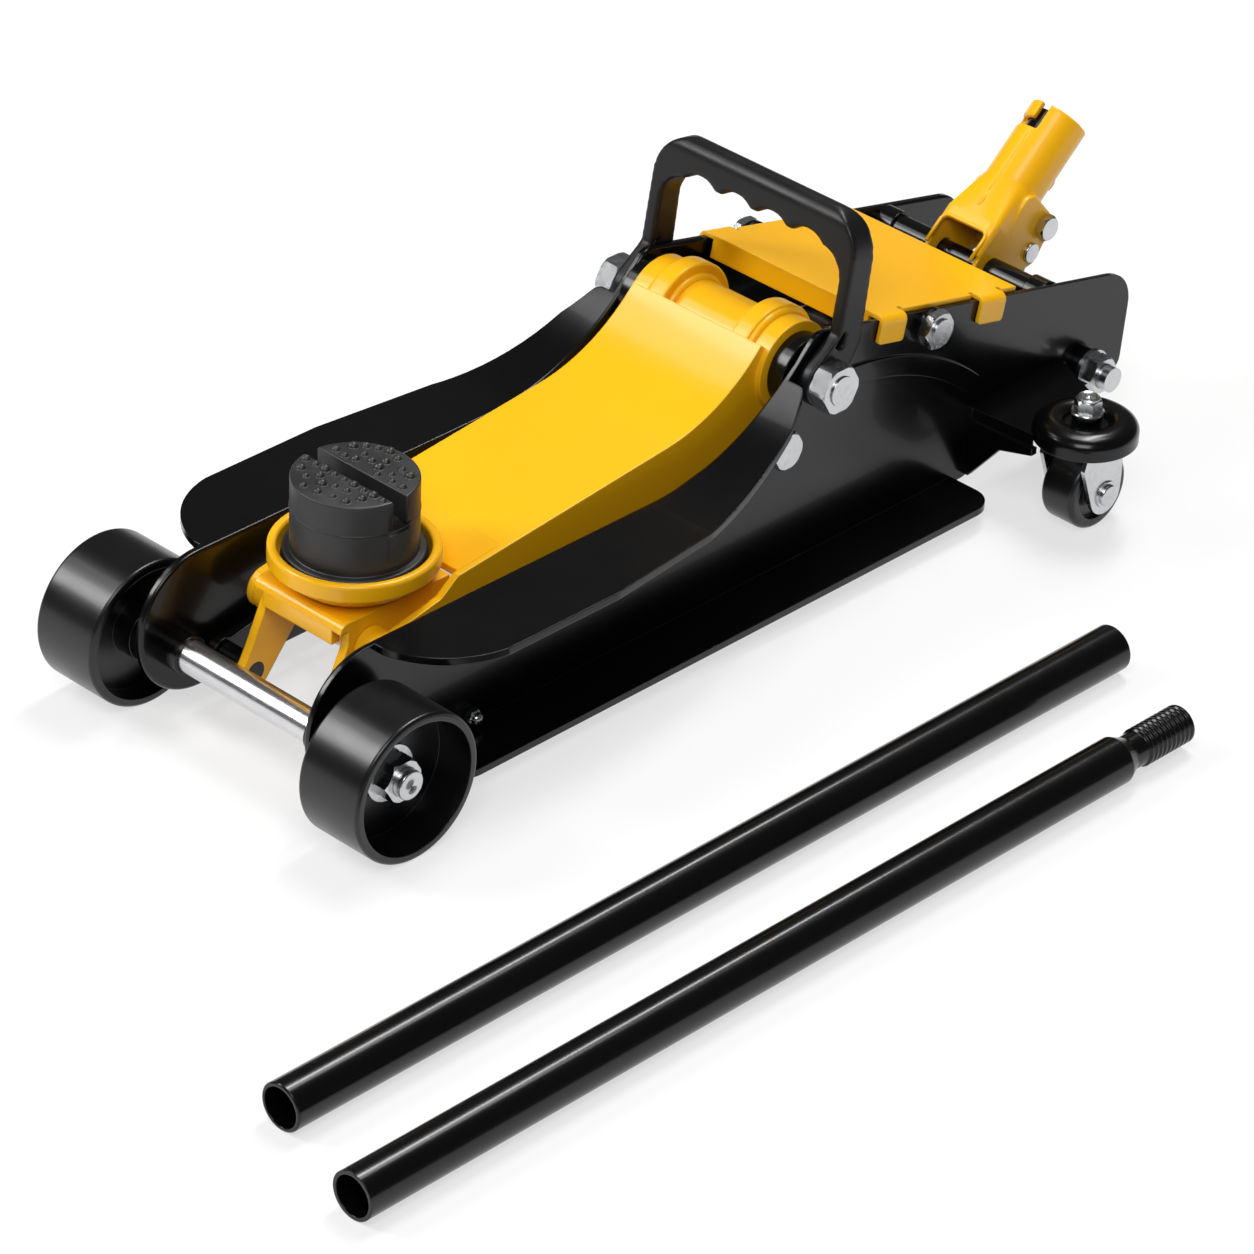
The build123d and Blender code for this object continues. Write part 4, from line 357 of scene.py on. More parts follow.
class SkinShelf:
    """Makes each shared node group once."""

    MAKERS = {Skin.PAINT: paint_skin, Skin.METAL: metal_skin, Skin.MOULDED: moulded_skin}

    def __init__(self) -> None:
        """Start with no group made."""
        self.trees: dict[Skin, bpy.types.NodeTree] = {}

    def get(self, skin: Skin) -> bpy.types.NodeTree:
        """The node group of a skin, made on first use."""
        if skin not in self.trees:
            self.trees[skin] = self.MAKERS[skin]()
        return self.trees[skin]


@dataclass(frozen=True)
class Finish:
    """What every finish has: a name, a record slot, a skin, a bump and the choice of soft edges."""

    name: str
    slot: str
    skin: Skin
    values: dict[str, object] = field(default_factory=dict)
    sockets: dict[str, object] = field(default_factory=dict)
    bump_height: float = 0.000004
    bump_strength: float = 0.15
    soft_edges: bool = True

    def make(self, shelf: SkinShelf) -> bpy.types.Material:
        """Build the material.

        Args:
            shelf: Source of the shared node groups.

        Returns:
            The new material.
        """
        material = bpy.data.materials.new(self.name)
        material.use_nodes = True
        tree = material.node_tree
        shader = tree.nodes["Principled BSDF"]
        group = tree.nodes.new("ShaderNodeGroup")
        group.node_tree = shelf.get(self.skin)
        for name, value in self.values.items():
            group.inputs[name].default_value = value
        for name, value in self.sockets.items():
            shader.inputs[name].default_value = value
        bump = tree.nodes.new("ShaderNodeBump")
        bump.inputs["Distance"].default_value = self.bump_height
        bump.inputs["Strength"].default_value = self.bump_strength
        tree.links.new(group.outputs["Height"], bump.inputs["Height"])
        if self.soft_edges:
            tree.links.new(group.outputs["Rounded Normal"], bump.inputs["Normal"])
        tree.links.new(group.outputs["Color"], shader.inputs["Base Color"])
        tree.links.new(group.outputs["Roughness"], shader.inputs["Roughness"])
        tree.links.new(bump.outputs["Normal"], shader.inputs["Normal"])
        return material


FRAME_BLACK = Finish(
    "gloss_black_paint",
    "frame_black",
    Skin.PAINT,
    {
        "Tint": rgb(0.0024, 0.0024, 0.0026),
        "Thin Tint": rgb(0.009, 0.009, 0.01),
        "Deep Tint": rgb(0.0016, 0.0016, 0.0018),
        "Smooth Roughness": 0.21,
        "Roughness Spread": 0.03,
        "Edge Width": 0.0009,
    },
    {"Specular IOR Level": 0.3, "Coat Weight": 0.15, "Coat Roughness": 0.06},
)
WHEEL_BLACK = Finish(
    "black_wheel_enamel",
    "frame_black",
    Skin.PAINT,
    {
        "Tint": rgb(0.0026, 0.0026, 0.0028),
        "Thin Tint": rgb(0.009, 0.009, 0.01),
        "Deep Tint": rgb(0.0018, 0.0018, 0.002),
        "Smooth Roughness": 0.29,
        "Roughness Spread": 0.03,
        "Edge Width": 0.0009,
    },
    {"Specular IOR Level": 0.5, "Coat Weight": 0.08, "Coat Roughness": 0.1},
)
LIFT_YELLOW = Finish(
    "warm_yellow_paint",
    "lift_yellow",
    Skin.PAINT,
    {
        "Tint": rgb(0.97, 0.49, 0.005),
        "Thin Tint": rgb(1.0, 0.63, 0.05),
        "Deep Tint": rgb(0.94, 0.47, 0.004),
        "Smooth Roughness": 0.3,
        "Roughness Spread": 0.04,
        "Edge Width": 0.0013,
    },
    {"Specular IOR Level": 0.34, "Coat Weight": 0.18, "Coat Roughness": 0.12},
)
BRIGHT_ZINC = Finish(
    "bright_zinc_plate",
    "bright_zinc",
    Skin.METAL,
    {
        "Tint": rgb(0.6, 0.61, 0.62),
        "Dull Tint": rgb(0.5, 0.51, 0.53),
        "Streak Scale": 350.0,
        "Smooth Roughness": 0.2,
        "Roughness Spread": 0.08,
        "Edge Width": 0.0006,
    },
    {"Metallic": 1.0},
    bump_height=0.000005,
    soft_edges=False,
)
GROUND_STEEL = Finish(
    "ground_steel",
    "bright_steel",
    Skin.METAL,
    {
        "Tint": rgb(0.7, 0.7, 0.71),
        "Dull Tint": rgb(0.6, 0.6, 0.62),
        "Stretch": (1.0, 0.06, 1.0),
        "Streak Scale": 900.0,
        "Smooth Roughness": 0.22,
        "Roughness Spread": 0.06,
    },
    {"Metallic": 1.0},
    bump_height=0.000002,
    bump_strength=0.1,
    soft_edges=False,
)
PUMP_BLACK = Finish(
    "satin_black_casting",
    "pump_black",
    Skin.PAINT,
    {
        "Tint": rgb(0.012, 0.012, 0.013),
        "Thin Tint": rgb(0.06, 0.06, 0.062),
        "Deep Tint": rgb(0.007, 0.007, 0.008),
        "Peel Scale": 260.0,
        "Smooth Roughness": 0.38,
        "Roughness Spread": 0.15,
    },
    {"Specular IOR Level": 0.5},
    bump_height=0.00008,
    bump_strength=0.5,
)
PAD_RUBBER = Finish(
    "charcoal_rubber",
    "pad_rubber",
    Skin.MOULDED,
    {
        "Tint": rgb(0.014, 0.014, 0.015),
        "Pale Tint": rgb(0.06, 0.06, 0.062),
        "Grain Scale": 900.0,
        "Edge Width": 0.001,
        "Smooth Roughness": 0.38,
        "Roughness Spread": 0.15,
    },
    {"Specular IOR Level": 0.62},
    bump_height=0.00004,
    bump_strength=0.35,
)
GRIP_PLASTIC = Finish(
    "satin_black_plastic",
    "grip_plastic",
    Skin.MOULDED,
    {
        "Tint": rgb(0.006, 0.006, 0.0065),
        "Pale Tint": rgb(0.012, 0.012, 0.0125),
        "Grain Scale": 1500.0,
        "Smooth Roughness": 0.34,
        "Roughness Spread": 0.06,
    },
    {"Specular IOR Level": 0.34},
    bump_height=0.00001,
    bump_strength=0.2,
)
CASTER_PLASTIC = Finish(
    "black_caster_plastic",
    "caster_plastic",
    Skin.MOULDED,
    {
        "Tint": rgb(0.006, 0.006, 0.006),
        "Pale Tint": rgb(0.014, 0.014, 0.0145),
        "Grain Scale": 1100.0,
        "Smooth Roughness": 0.26,
        "Roughness Spread": 0.06,
    },
    {"Specular IOR Level": 0.5},
    bump_height=0.00001,
    bump_strength=0.2,
)

FINISHES = (
    FRAME_BLACK,
    WHEEL_BLACK,
    LIFT_YELLOW,
    BRIGHT_ZINC,
    GROUND_STEEL,
    PUMP_BLACK,
    PAD_RUBBER,
    GRIP_PLASTIC,
    CASTER_PLASTIC,
)


class Workshop:
    """Holds the loaded frame and the materials, and adds pieces to the scene."""

    def __init__(self, frame: dict) -> None:
        """Make every material once.
        """
        self.nodes: dict[str, bpy.types.Object] = frame["nodes"]
        shelf = SkinShelf()
        self.materials = {finish.name: finish.make(shelf) for finish in FINISHES}

    def dress(self, finish: Finish, *nodes: str) -> None:
        """Give CAD nodes a finish.

        Args:
            finish: The finish.
            nodes: Names of the nodes.
        """
        material = self.materials[finish.name]
        for name in nodes:
            thing = self.nodes[name]
            if not thing.material_slots:
                thing.data.materials.append(material)
            for place in thing.material_slots:
                place.material = material
            LOG.info("dressed %s in %s", name, finish.name)

    def place(self, name: str, mesh: bpy.types.Mesh, finish: Finish) -> bpy.types.Object:
        """Put a new object in the scene, on no body yet.

        Args:
            name: Name of the object.
            mesh: Its mesh, in the jack's frame.
            finish: Its finish.

        Returns:
            The new object.
        """
        thing = bpy.data.objects.new(name, mesh)
        bpy.context.scene.collection.objects.link(thing)
        mesh.materials.clear()
        mesh.materials.append(self.materials[finish.name])
        return thing

    def add(self, name: str, mesh: bpy.types.Mesh, finish: Finish, body: str) -> bpy.types.Object:
        """Put a new piece in the scene.

        Args:
            name: Name of the piece.
            mesh: Its mesh, in the jack's frame.
            finish: Its finish.
            body: CAD body that it moves with.

        Returns:
            The new object.
        """
        thing = self.place(name, mesh, finish)
        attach(thing, body)
        LOG.info("added %s on %s", name, body)
        return thing


class SubAssembly(ABC):
    """A group of pieces that is dressed as one."""

    @abstractmethod
    def build(self, shop: Workshop) -> None:
        """Dress the group's nodes and add its small pieces.

        Args:
            shop: Scene and materials.
        """


def finished(work: bmesh.types.BMesh, name: str) -> bpy.types.Mesh:
    """Turn mesh work into a smooth mesh.

    Args:
        work: The mesh being worked on, which is freed.
        name: Name of the mesh.

    Returns:
        The new mesh.
    """
    bmesh.ops.recalc_face_normals(work, faces=work.faces)
    mesh = bpy.data.meshes.new(name)
    work.to_mesh(mesh)
    work.free()
    mesh.shade_smooth()
    return mesh


def circle(steps: int) -> Profile:
    """Points of a circle of radius 1.

    Args:
        steps: Number of points.

    Returns:
        X and Y of each point.
    """
    angles = [2 * math.pi * step / steps for step in range(steps)]
    return [(math.cos(angle), math.sin(angle)) for angle in angles]


def quarter() -> list[float]:
    """Angles of a quarter circle, from 0 to 90 degrees."""
    return [math.pi / 2 * step / ARC_STEPS for step in range(ARC_STEPS + 1)]


def rounded(radius: float, top: float, reach: float, drop: float) -> Profile:
    """Rounded shoulder of a profile, from its side up to its top.

    Args:
        radius: Radius of the side.
        top: Height of the top.
        reach: Width of the shoulder.
        drop: Height of the shoulder.

    Returns:
        Radius and height of each point.
    """
    return [
        (radius - reach * (1 - math.cos(angle)), top - drop * (1 - math.sin(angle))) for angle in quarter()
    ]


def turned(work: bmesh.types.BMesh, profile: Profile, place: Matrix, steps: int) -> None:
    """Turn a closed profile about the local Z axis.

    Args:
        work: Mesh that takes the shape.
        profile: Radius and height of each point, in metres, round the section.
        place: Where the shape goes.
        steps: Number of steps round.
    """
    rings = [
        [work.verts.new(place @ Vector((radius * x, radius * y, height))) for radius, height in profile]
        for x, y in circle(steps)
    ]
    for here, there in zip(rings, rings[1:] + rings[:1]):
        for spot in range(len(profile)):
            after = (spot + 1) % len(profile)
            work.faces.new((here[spot], there[spot], there[after], here[after]))


def joined(work: bmesh.types.BMesh, rings: list[list[bmesh.types.BMVert]]) -> None:
    """Join each ring of points to the next one with faces.

    Args:
        work: Mesh that has the points.
        rings: Rings with the same number of points.
    """
    for here, there in zip(rings, rings[1:]):
        for step in range(len(here)):
            after = (step + 1) % len(here)
            work.faces.new((here[step], here[after], there[after], there[step]))


def round_section(radius: float, bead: float, height: float = 0.0, steps: int = 10) -> Profile:
    """Section of a round ring.

    Args:
        radius: Radius of the ring.
        bead: Radius of its section.
        height: Height of its middle.
        steps: Number of points round the section.

    Returns:
        Radius and height of each point.
    """
    return [(radius + bead * x, height + bead * y) for x, y in circle(steps)]


def along_y(x: float, y: float, z: float) -> Matrix:
    """Place whose local Z axis runs along the jack's Y axis."""
    return Matrix.Translation((x, y, z)) @ Matrix.Rotation(-math.pi / 2, 4, "X")


def outward(x: float, y: float, z: float, side: Side) -> Matrix:
    """Place on one side of the jack whose local Z axis points away from the jack."""
    turn = Matrix.Rotation(-side.value * math.pi / 2, 4, "X")
    return Matrix.Translation((x, side.value * y, z)) @ turn


def dome(
    work: bmesh.types.BMesh, place: Matrix, radius: float, height: float, steps: int = 20, rings: int = 6
) -> None:
    """Add a low closed dome that stands on the local XY plane.

    Args:
        work: Mesh that takes the dome.
        place: Where the dome goes.
        radius: Radius of its foot.
        height: Height of its top.
        steps: Number of steps round.
        rings: Number of steps from foot to top.
    """
    rows = []
    for ring in range(rings):
        lift = math.pi / 2 * ring / rings
        reach = radius * math.cos(lift)
        level = height * math.sin(lift)
        rows.append([work.verts.new(place @ Vector((reach * x, reach * y, level))) for x, y in circle(steps)])
    top = work.verts.new(place @ Vector((0, 0, height)))
    joined(work, rows)
    for step in range(steps):
        work.faces.new((rows[-1][step], rows[-1][(step + 1) % steps], top))
    work.faces.new(list(reversed(rows[0])))


def swept(work: bmesh.types.BMesh, path: list[Vector], upward: Vector, radius: float, steps: int = 8) -> None:
    """Add a closed round bead along a path.

    Args:
        work: Mesh that takes the bead.
        path: Points along its middle.
        upward: Direction that is never along the path.
        radius: Radius of its section.
        steps: Number of points round the section.
    """
    rings = []
    last = len(path) - 1
    for index, point in enumerate(path):
        way = (path[min(index + 1, last)] - path[max(index - 1, 0)]).normalized()
        across = way.cross(upward).normalized()
        over = across.cross(way)
        rings.append([work.verts.new(point + radius * (across * x + over * y)) for x, y in circle(steps)])
    joined(work, rings)
    work.faces.new(list(reversed(rings[0])))
    work.faces.new(rings[-1])


def softened(source: bpy.types.Object, voxel: float, passes: int) -> bpy.types.Mesh:
    """Copy a CAD mesh with soft, moulded edges.

    Args:
        source: CAD object that is copied.
        voxel: Size of the even mesh that replaces its facets.
        passes: Number of smoothing passes.

    Returns:
        The softened mesh.
    """
    blank = bpy.data.objects.new("soft_blank", source.data.copy())
    bpy.context.scene.collection.objects.link(blank)
    even = blank.modifiers.new("even", "REMESH")
    even.mode = "VOXEL"
    even.voxel_size = voxel
    smooth = blank.modifiers.new("smooth", "SMOOTH")
    smooth.factor = 0.5
    smooth.iterations = passes
    shaped = blank.evaluated_get(bpy.context.evaluated_depsgraph_get())
    mesh = bpy.data.meshes.new_from_object(shaped)
    bpy.data.objects.remove(blank)
    mesh.shade_smooth()
    return mesh


@dataclass
class SidePlates(SubAssembly):
    """The two pressed plates with their bolts, bushes and tie rods."""

    black: tuple[str, ...] = ("side_plate_left", "side_plate_right", "bolt_bushes")
    zinc: tuple[str, ...] = ("tie_rods", "tie_nuts", "rear_bolts", "rear_nuts", "link_bolts")
    tie_x: float = 0.085
    tie_z: float = 0.0195
    tie_end: float = 0.0675
    cap_radius: float = 0.0034
    cap_height: float = 0.0028

    def build(self, shop: Workshop) -> None:
        """Dress the plates and their fasteners, and cap the slim front tie rod."""
        shop.dress(FRAME_BLACK, *self.black)
        shop.dress(BRIGHT_ZINC, *self.zinc)
        work = bmesh.new()
        for side in Side:
            place = outward(self.tie_x, self.tie_end, self.tie_z, side)
            dome(work, place, self.cap_radius, self.cap_height)
        shop.add("front_tie_caps", finished(work, "front_tie_caps"), BRIGHT_ZINC, "frame")


@dataclass
class FrontAxle(SubAssembly):
    """Front wheels, axle, collars, nuts and washers."""

    wheels: tuple[str, ...] = ("front_wheel_left", "front_wheel_right")
    black: tuple[str, ...] = ("axle_collars",)
    zinc: tuple[str, ...] = ("axle_fasteners",)
    steel: tuple[str, ...] = ("front_axle",)
    axle_x: float = -0.0015
    axle_z: float = 0.04
    axle_end: float = 0.1103
    end_radius: float = 0.0078
    end_round: float = 0.0012
    end_height: float = 0.0006

    def build(self, shop: Workshop) -> None:
        """Dress the wheels and the axle, and round the ends of the axle."""
        shop.dress(WHEEL_BLACK, *self.wheels)
        shop.dress(FRAME_BLACK, *self.black)
        shop.dress(BRIGHT_ZINC, *self.zinc)
        shop.dress(GROUND_STEEL, *self.steel)
        work = bmesh.new()
        for side in Side:
            turned(work, self.end_profile(), outward(self.axle_x, self.axle_end, self.axle_z, side), 48)
        shop.add("axle_end_faces", finished(work, "axle_end_faces"), BRIGHT_ZINC, "frame")

    def end_profile(self) -> Profile:
        """Section of the thin rounded face on the end of the axle.

        Returns:
            Radius and height of each point.
        """
        foot = [(CORE, -self.end_round), (self.end_radius, -self.end_round)]
        shoulder = rounded(self.end_radius, self.end_height, self.end_round, self.end_height)
        return foot + shoulder + [(CORE, self.end_height)]


@dataclass
class LiftArm(SubAssembly):
    """Lift arm, its weld beads, the main pivot and the levelling links."""

    pivot_x: float = 0.326
    pivot_z: float = 0.118
    tube_radius: float = 0.021
    lug_inner: float = 0.024
    lug_outer: float = 0.035
    collar_radius: float = 0.025
    bead: float = 0.0028

    def build(self, shop: Workshop) -> None:
        """Dress the arm and add the beads where its tube and collars meet the lugs."""
        shop.dress(LIFT_YELLOW, "lift_arm", "saddle_pin", "saddle_pin_sleeves")
        shop.dress(BRIGHT_ZINC, "main_shaft", "pivot_nuts")
        shop.dress(FRAME_BLACK, "pivot_spacers", "link_rod_left", "link_rod_right")
        shop.dress(GROUND_STEEL, "horn_pin", "ram_roller")
        work = bmesh.new()
        for side in Side:
            inner = along_y(self.pivot_x, side.value * self.lug_inner, self.pivot_z)
            outer = along_y(self.pivot_x, side.value * self.lug_outer, self.pivot_z)
            turned(work, round_section(self.tube_radius, self.bead), inner, 64)
            turned(work, round_section(self.collar_radius, self.bead), outer, 64)
        shop.add("arm_weld_beads", finished(work, "arm_weld_beads"), LIFT_YELLOW, "arm")


@dataclass
class Saddle(SubAssembly):
    """Saddle yoke, cup and studded rubber pad."""

    centre_x: float = 0.065
    pad_radius: float = 0.032
    pad_top: float = 0.137
    slot_half: float = 0.0045
    stud_radius: float = 0.0023
    stud_height: float = 0.0023
    stud_gap: float = 0.0062
    stud_spread: float = 0.22
    stud_tries: int = 900
    stud_steps: int = 14
    stud_rings: int = 4
    # Distance of a stud from the pad's edge and from the slot, in radii of the stud
    edge_room: float = 1.7
    slot_room: float = 1.3
    row_count: int = 9
    line_z: float = 0.1205
    line_bead: float = 0.0003
    line_points: int = 6
    foot_radius: float = 0.0358
    foot_low: float = 0.0925
    foot_high: float = 0.0978
    foot_round: float = 0.0014
    edge_round: float = 0.0012
    # Angles in degrees between faces, over which an edge is rounded and shaded sharp
    round_over: float = 40.0
    sharp_over: float = 38.0
    ring_steps: int = 96
    seed: int = 7

    def build(self, shop: Workshop) -> None:
        """Dress the yoke and cup, and make the pad."""
        shop.dress(LIFT_YELLOW, "saddle_yoke", "saddle_cup")
        shop.dress(FRAME_BLACK, "link_front_pin")
        shop.dress(BRIGHT_ZINC, "saddle_retainer")
        self.pad(shop)

    def stud_spots(self) -> list[tuple[float, float]]:
        """Scatter the studs over the two halves of the pad's top.

        Returns:
            X and Y of each stud.
        """
        draw = random.Random(self.seed)
        reach = self.pad_radius - self.edge_room * self.stud_radius
        edge = self.slot_half + self.slot_room * self.stud_radius
        half_row = math.sqrt(reach**2 - edge**2)
        shares = [2 * step / (self.row_count - 1) - 1 for step in range(self.row_count)]
        spots = [(-edge, half_row * share) for share in shares]
        for _ in range(self.stud_tries):
            x = draw.uniform(-reach, reach)
            y = draw.uniform(-reach, reach)
            on_top = math.hypot(x, y) < reach and abs(x) > edge
            if on_top and all(math.hypot(x - a, y - b) > self.stud_gap for a, b in spots):
                spots.append((x, y))
        return spots

    def foot_section(self) -> Profile:
        """Section of the ring round the pad's foot, which fills the cup up to its rim.

        Returns:
            Radius and height of each point.
        """
        inner = self.pad_radius - self.foot_round
        foot = [(inner, self.foot_low), (self.foot_radius, self.foot_low)]
        shoulder = rounded(self.foot_radius, self.foot_high, self.foot_round, self.foot_round)
        return foot + shoulder + [(inner, self.foot_high)]

    def pad(self, shop: Workshop) -> None:
        """Make the rubber pad: rounded block, studs, moulding line and foot ring."""
        work = bmesh.new()
        work.from_mesh(shop.nodes["rubber_pad"].data)
        bmesh.ops.remove_doubles(work, verts=work.verts, dist=1e-6)
        bmesh.ops.dissolve_limit(
            work, angle_limit=math.radians(1), verts=work.verts, edges=work.edges, delimit={"NORMAL"}
        )
        least = math.radians(self.round_over)
        sharp = [edge for edge in work.edges if edge.is_manifold and edge.calc_face_angle() > least]
        bmesh.ops.bevel(
            work,
            geom=sharp,
            offset=self.edge_round,
            segments=3,
            profile=0.5,
            affect="EDGES",
            clamp_overlap=True,
        )
        draw = random.Random(self.seed + 1)
        for x, y in self.stud_spots():
            place = Matrix.Translation((self.centre_x + x, y, self.pad_top - SINK))
            grow = draw.uniform(1 - self.stud_spread, 1 + self.stud_spread)
            radius, height = self.stud_radius * grow, self.stud_height * grow
            dome(work, place, radius, height, self.stud_steps, self.stud_rings)
        ring = Matrix.Translation((self.centre_x, 0, 0))
        line = round_section(self.pad_radius, self.line_bead, self.line_z, self.line_points)
        turned(work, line, ring, self.ring_steps)
        turned(work, self.foot_section(), ring, self.ring_steps)
        mesh = finished(work, "studded_pad")
        mesh.set_sharp_from_angle(angle=math.radians(self.sharp_over))
        piece = shop.add("studded_pad", mesh, PAD_RUBBER, "pad")
        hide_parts("rubber_pad")


@dataclass(frozen=True)
class Spring(SubAssembly):
    """A coil spring between the frame and a moving body."""

    name: str
    node: str
    body: str
    along: Point

    def build(self, shop: Workshop) -> None:
        """Make the spring from its CAD node, in place, and hide the node."""
        piece = shop.place(self.name, shop.nodes[self.node].data.copy(), GROUND_STEEL)
        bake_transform(piece)
        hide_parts(self.node)
        LOG.info("stretched %s from the frame to %s", self.name, self.body)


@dataclass
class Hydraulics(SubAssembly):
    """Ram, cylinder, pump block, springs and release valve."""

    black: tuple[str, ...] = ("pump_block", "ram_cylinder")
    steel: tuple[str, ...] = ("ram_rod", "gland_nut", "pump_plunger", "block_spacers")
    springs: tuple[Spring, ...] = (
        Spring("pump_coil", "pump_spring", "plunger", (0.0, 0.0, 1.0)),
        Spring("return_coils", "return_springs", "ram", (-1.0, 0.0, 0.0)),
    )

    def build(self, shop: Workshop) -> None:
        """Dress the hydraulic unit and hang its springs."""
        for spring in self.springs:
            spring.build(shop)
        shop.dress(PUMP_BLACK, *self.black)
        shop.dress(GROUND_STEEL, *self.steel)
        shop.dress(BRIGHT_ZINC, "release_valve")
        shop.dress(PAD_RUBBER, "filler_plug")


@dataclass
class HandleSocket(SubAssembly):
    """Handle socket with its shaft, rollers and lock bolt."""

    pivot: Point = (0.5135, 0.0, 0.0925)
    lean: float = 41.0
    voxel: float = 0.0006
    soft_passes: int = 8
    box_top: float = 0.02
    box_half: float = 0.018
    tube_start: float = 0.047
    tube_radius: float = 0.0168
    seam_start: float = 0.036
    seam_end: float = 0.0745
    seam_bead: float = 0.0004
    seam_steps: int = 12
    boss_along: float = 0.029
    boss_radius: float = 0.0021
    boss_height: float = 0.0012
    boss_long: float = 1.9
    boss_narrow: float = 0.8
    boss_steps: int = 24
    rim_half: float = 0.0155
    rim_low: float = -0.004
    rim_high: float = 0.0142
    rim_corner: float = 0.0045
    rim_bead: float = 0.0011
    nub_along: float = 0.081
    nub_radius: float = 0.0021
    nub_height: float = 0.00168
    pin_radius: float = 0.0024
    pin_dome: float = 0.0012
    pin_from_axis: float = 0.0116
    pin_angle: float = 38.0
    pin_low: float = 0.086
    pin_high: float = 0.0925
    # Thin black sleeve in the bore: painted shade for the dark inside of the tube
    shade_sleeve_outer: float = 0.01295
    shade_sleeve_inner: float = 0.01265
    shade_sleeve_low: float = 0.022
    shade_sleeve_high: float = 0.0905

    def build(self, shop: Workshop) -> None:
        """Dress the socket and add its seam, boss, window rim, nub, stop pin and a black sleeve of painted
        shade in the bore.
        """
        shop.dress(BRIGHT_ZINC, "lock_bolt", "pump_roller_pin")
        shop.dress(GROUND_STEEL, "pump_roller")
        shop.dress(FRAME_BLACK, "socket_shaft", "socket_collars", "socket_sleeves")
        soft = softened(shop.nodes["handle_socket"], self.voxel, self.soft_passes)
        piece = shop.add("pressed_socket", soft, LIFT_YELLOW, "socket")
        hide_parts("handle_socket")
        self.seam(shop)
        self.window_rim(shop)
        self.stop_pin(shop)
        self.liner(shop)

    def place(self) -> Matrix:
        """Socket's own frame: X along the tube, Z out of its upper face."""
        return Matrix.Translation(self.pivot) @ Matrix.Rotation(-math.radians(self.lean), 4, "Y")

    def top(self, along: float) -> float:
        """Height of the upper face over the axis.

        Args:
            along: Distance from the pivot along the axis.

        Returns:
            The height.
        """
        part = min(max((along - self.box_top) / (self.tube_start - self.box_top), 0.0), 1.0)
        return self.box_half + (self.tube_radius - self.box_half) * part

    def seam(self, shop: Workshop) -> None:
        """Add the seam line with its oval boss, and the nub on the back of the tube."""
        place = self.place()
        up = place.to_3x3() @ Vector((0, 0, 1))
        work = bmesh.new()
        path = []
        for step in range(self.seam_steps + 1):
            along = self.seam_start + (self.seam_end - self.seam_start) * step / self.seam_steps
            path.append(place @ Vector((along, 0, self.top(along) - self.seam_bead / 2)))
        swept(work, path, up, self.seam_bead)
        boss_foot = self.top(self.boss_along) - self.boss_height / 3
        boss = place @ Matrix.Translation((self.boss_along, 0, boss_foot))
        oval = Matrix.Diagonal((self.boss_long, self.boss_narrow, 1.0, 1.0))
        dome(work, boss @ oval, self.boss_radius, self.boss_height, self.boss_steps)
        nub = Matrix.Translation((self.nub_along, 0, -self.tube_radius)) @ Matrix.Rotation(math.pi, 4, "X")
        dome(work, place @ nub, self.nub_radius, self.nub_height)
        shop.add("socket_seam", finished(work, "socket_seam"), LIFT_YELLOW, "socket")

    def window_rim(self, shop: Workshop) -> None:
        """Add the rolled rim round the upper end and sides of the window."""
        place = self.place()
        up = place.to_3x3() @ Vector((0, 0, 1))
        height = self.box_half - self.rim_bead / 3
        path = [Vector((self.rim_low, -self.rim_half, height))]
        for side in Side:
            corner = rounded(self.rim_half, self.rim_high, self.rim_corner, self.rim_corner)
            if side is Side.RIGHT:
                corner.reverse()
            path.extend(Vector((along, side.value * out, height)) for out, along in corner)
        path.append(Vector((self.rim_low, self.rim_half, height)))
        work = bmesh.new()
        swept(work, [place @ point for point in path], up, self.rim_bead, 10)
        shop.add("socket_window_rim", finished(work, "socket_window_rim"), LIFT_YELLOW, "socket")

    def stop_pin(self, shop: Workshop) -> None:
        """Add the steel pin inside the mouth of the bayonet slot."""
        angle = math.radians(self.pin_angle)
        spot = Vector((0, -self.pin_from_axis * math.sin(angle), self.pin_from_axis * math.cos(angle)))
        place = self.place() @ Matrix.Translation(spot) @ Matrix.Rotation(math.pi / 2, 4, "Y")
        profile = [(CORE, self.pin_low), (self.pin_radius, self.pin_low)]
        for lift in quarter():
            radius = self.pin_radius * math.cos(lift) + CORE
            profile.append((radius, self.pin_high + self.pin_dome * math.sin(lift)))
        work = bmesh.new()
        turned(work, profile, place, 24)
        shop.add("socket_stop_pin", finished(work, "socket_stop_pin"), GROUND_STEEL, "socket")

    def liner(self, shop: Workshop) -> None:
        """Add a thin black sleeve in the bore as painted shade, which darkens the bore where it shows in the
        bayonet slot.
        """
        place = self.place() @ Matrix.Rotation(math.pi / 2, 4, "Y")
        profile = [
            (self.shade_sleeve_inner, self.shade_sleeve_low),
            (self.shade_sleeve_outer, self.shade_sleeve_low),
            (self.shade_sleeve_outer, self.shade_sleeve_high),
            (self.shade_sleeve_inner, self.shade_sleeve_high),
        ]
        work = bmesh.new()
        turned(work, profile, place, 64)
        mesh = finished(work, "socket_liner")
        mesh.set_sharp_from_angle(angle=CREASE_ANGLE)
        shop.add("socket_liner", mesh, FRAME_BLACK, "socket")


@dataclass
class CoverAndGrip(SubAssembly):
    """Cover plate and the moulded carry handle."""

    voxel: float = 0.0009
    soft_passes: int = 16

    def build(self, shop: Workshop) -> None:
        """Dress the cover and mould the carry handle."""
        shop.dress(LIFT_YELLOW, "cover_plate")
        soft = softened(shop.nodes["carry_handle"], self.voxel, self.soft_passes)
        piece = shop.add("moulded_grip", soft, GRIP_PLASTIC, "frame")
        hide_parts("carry_handle")


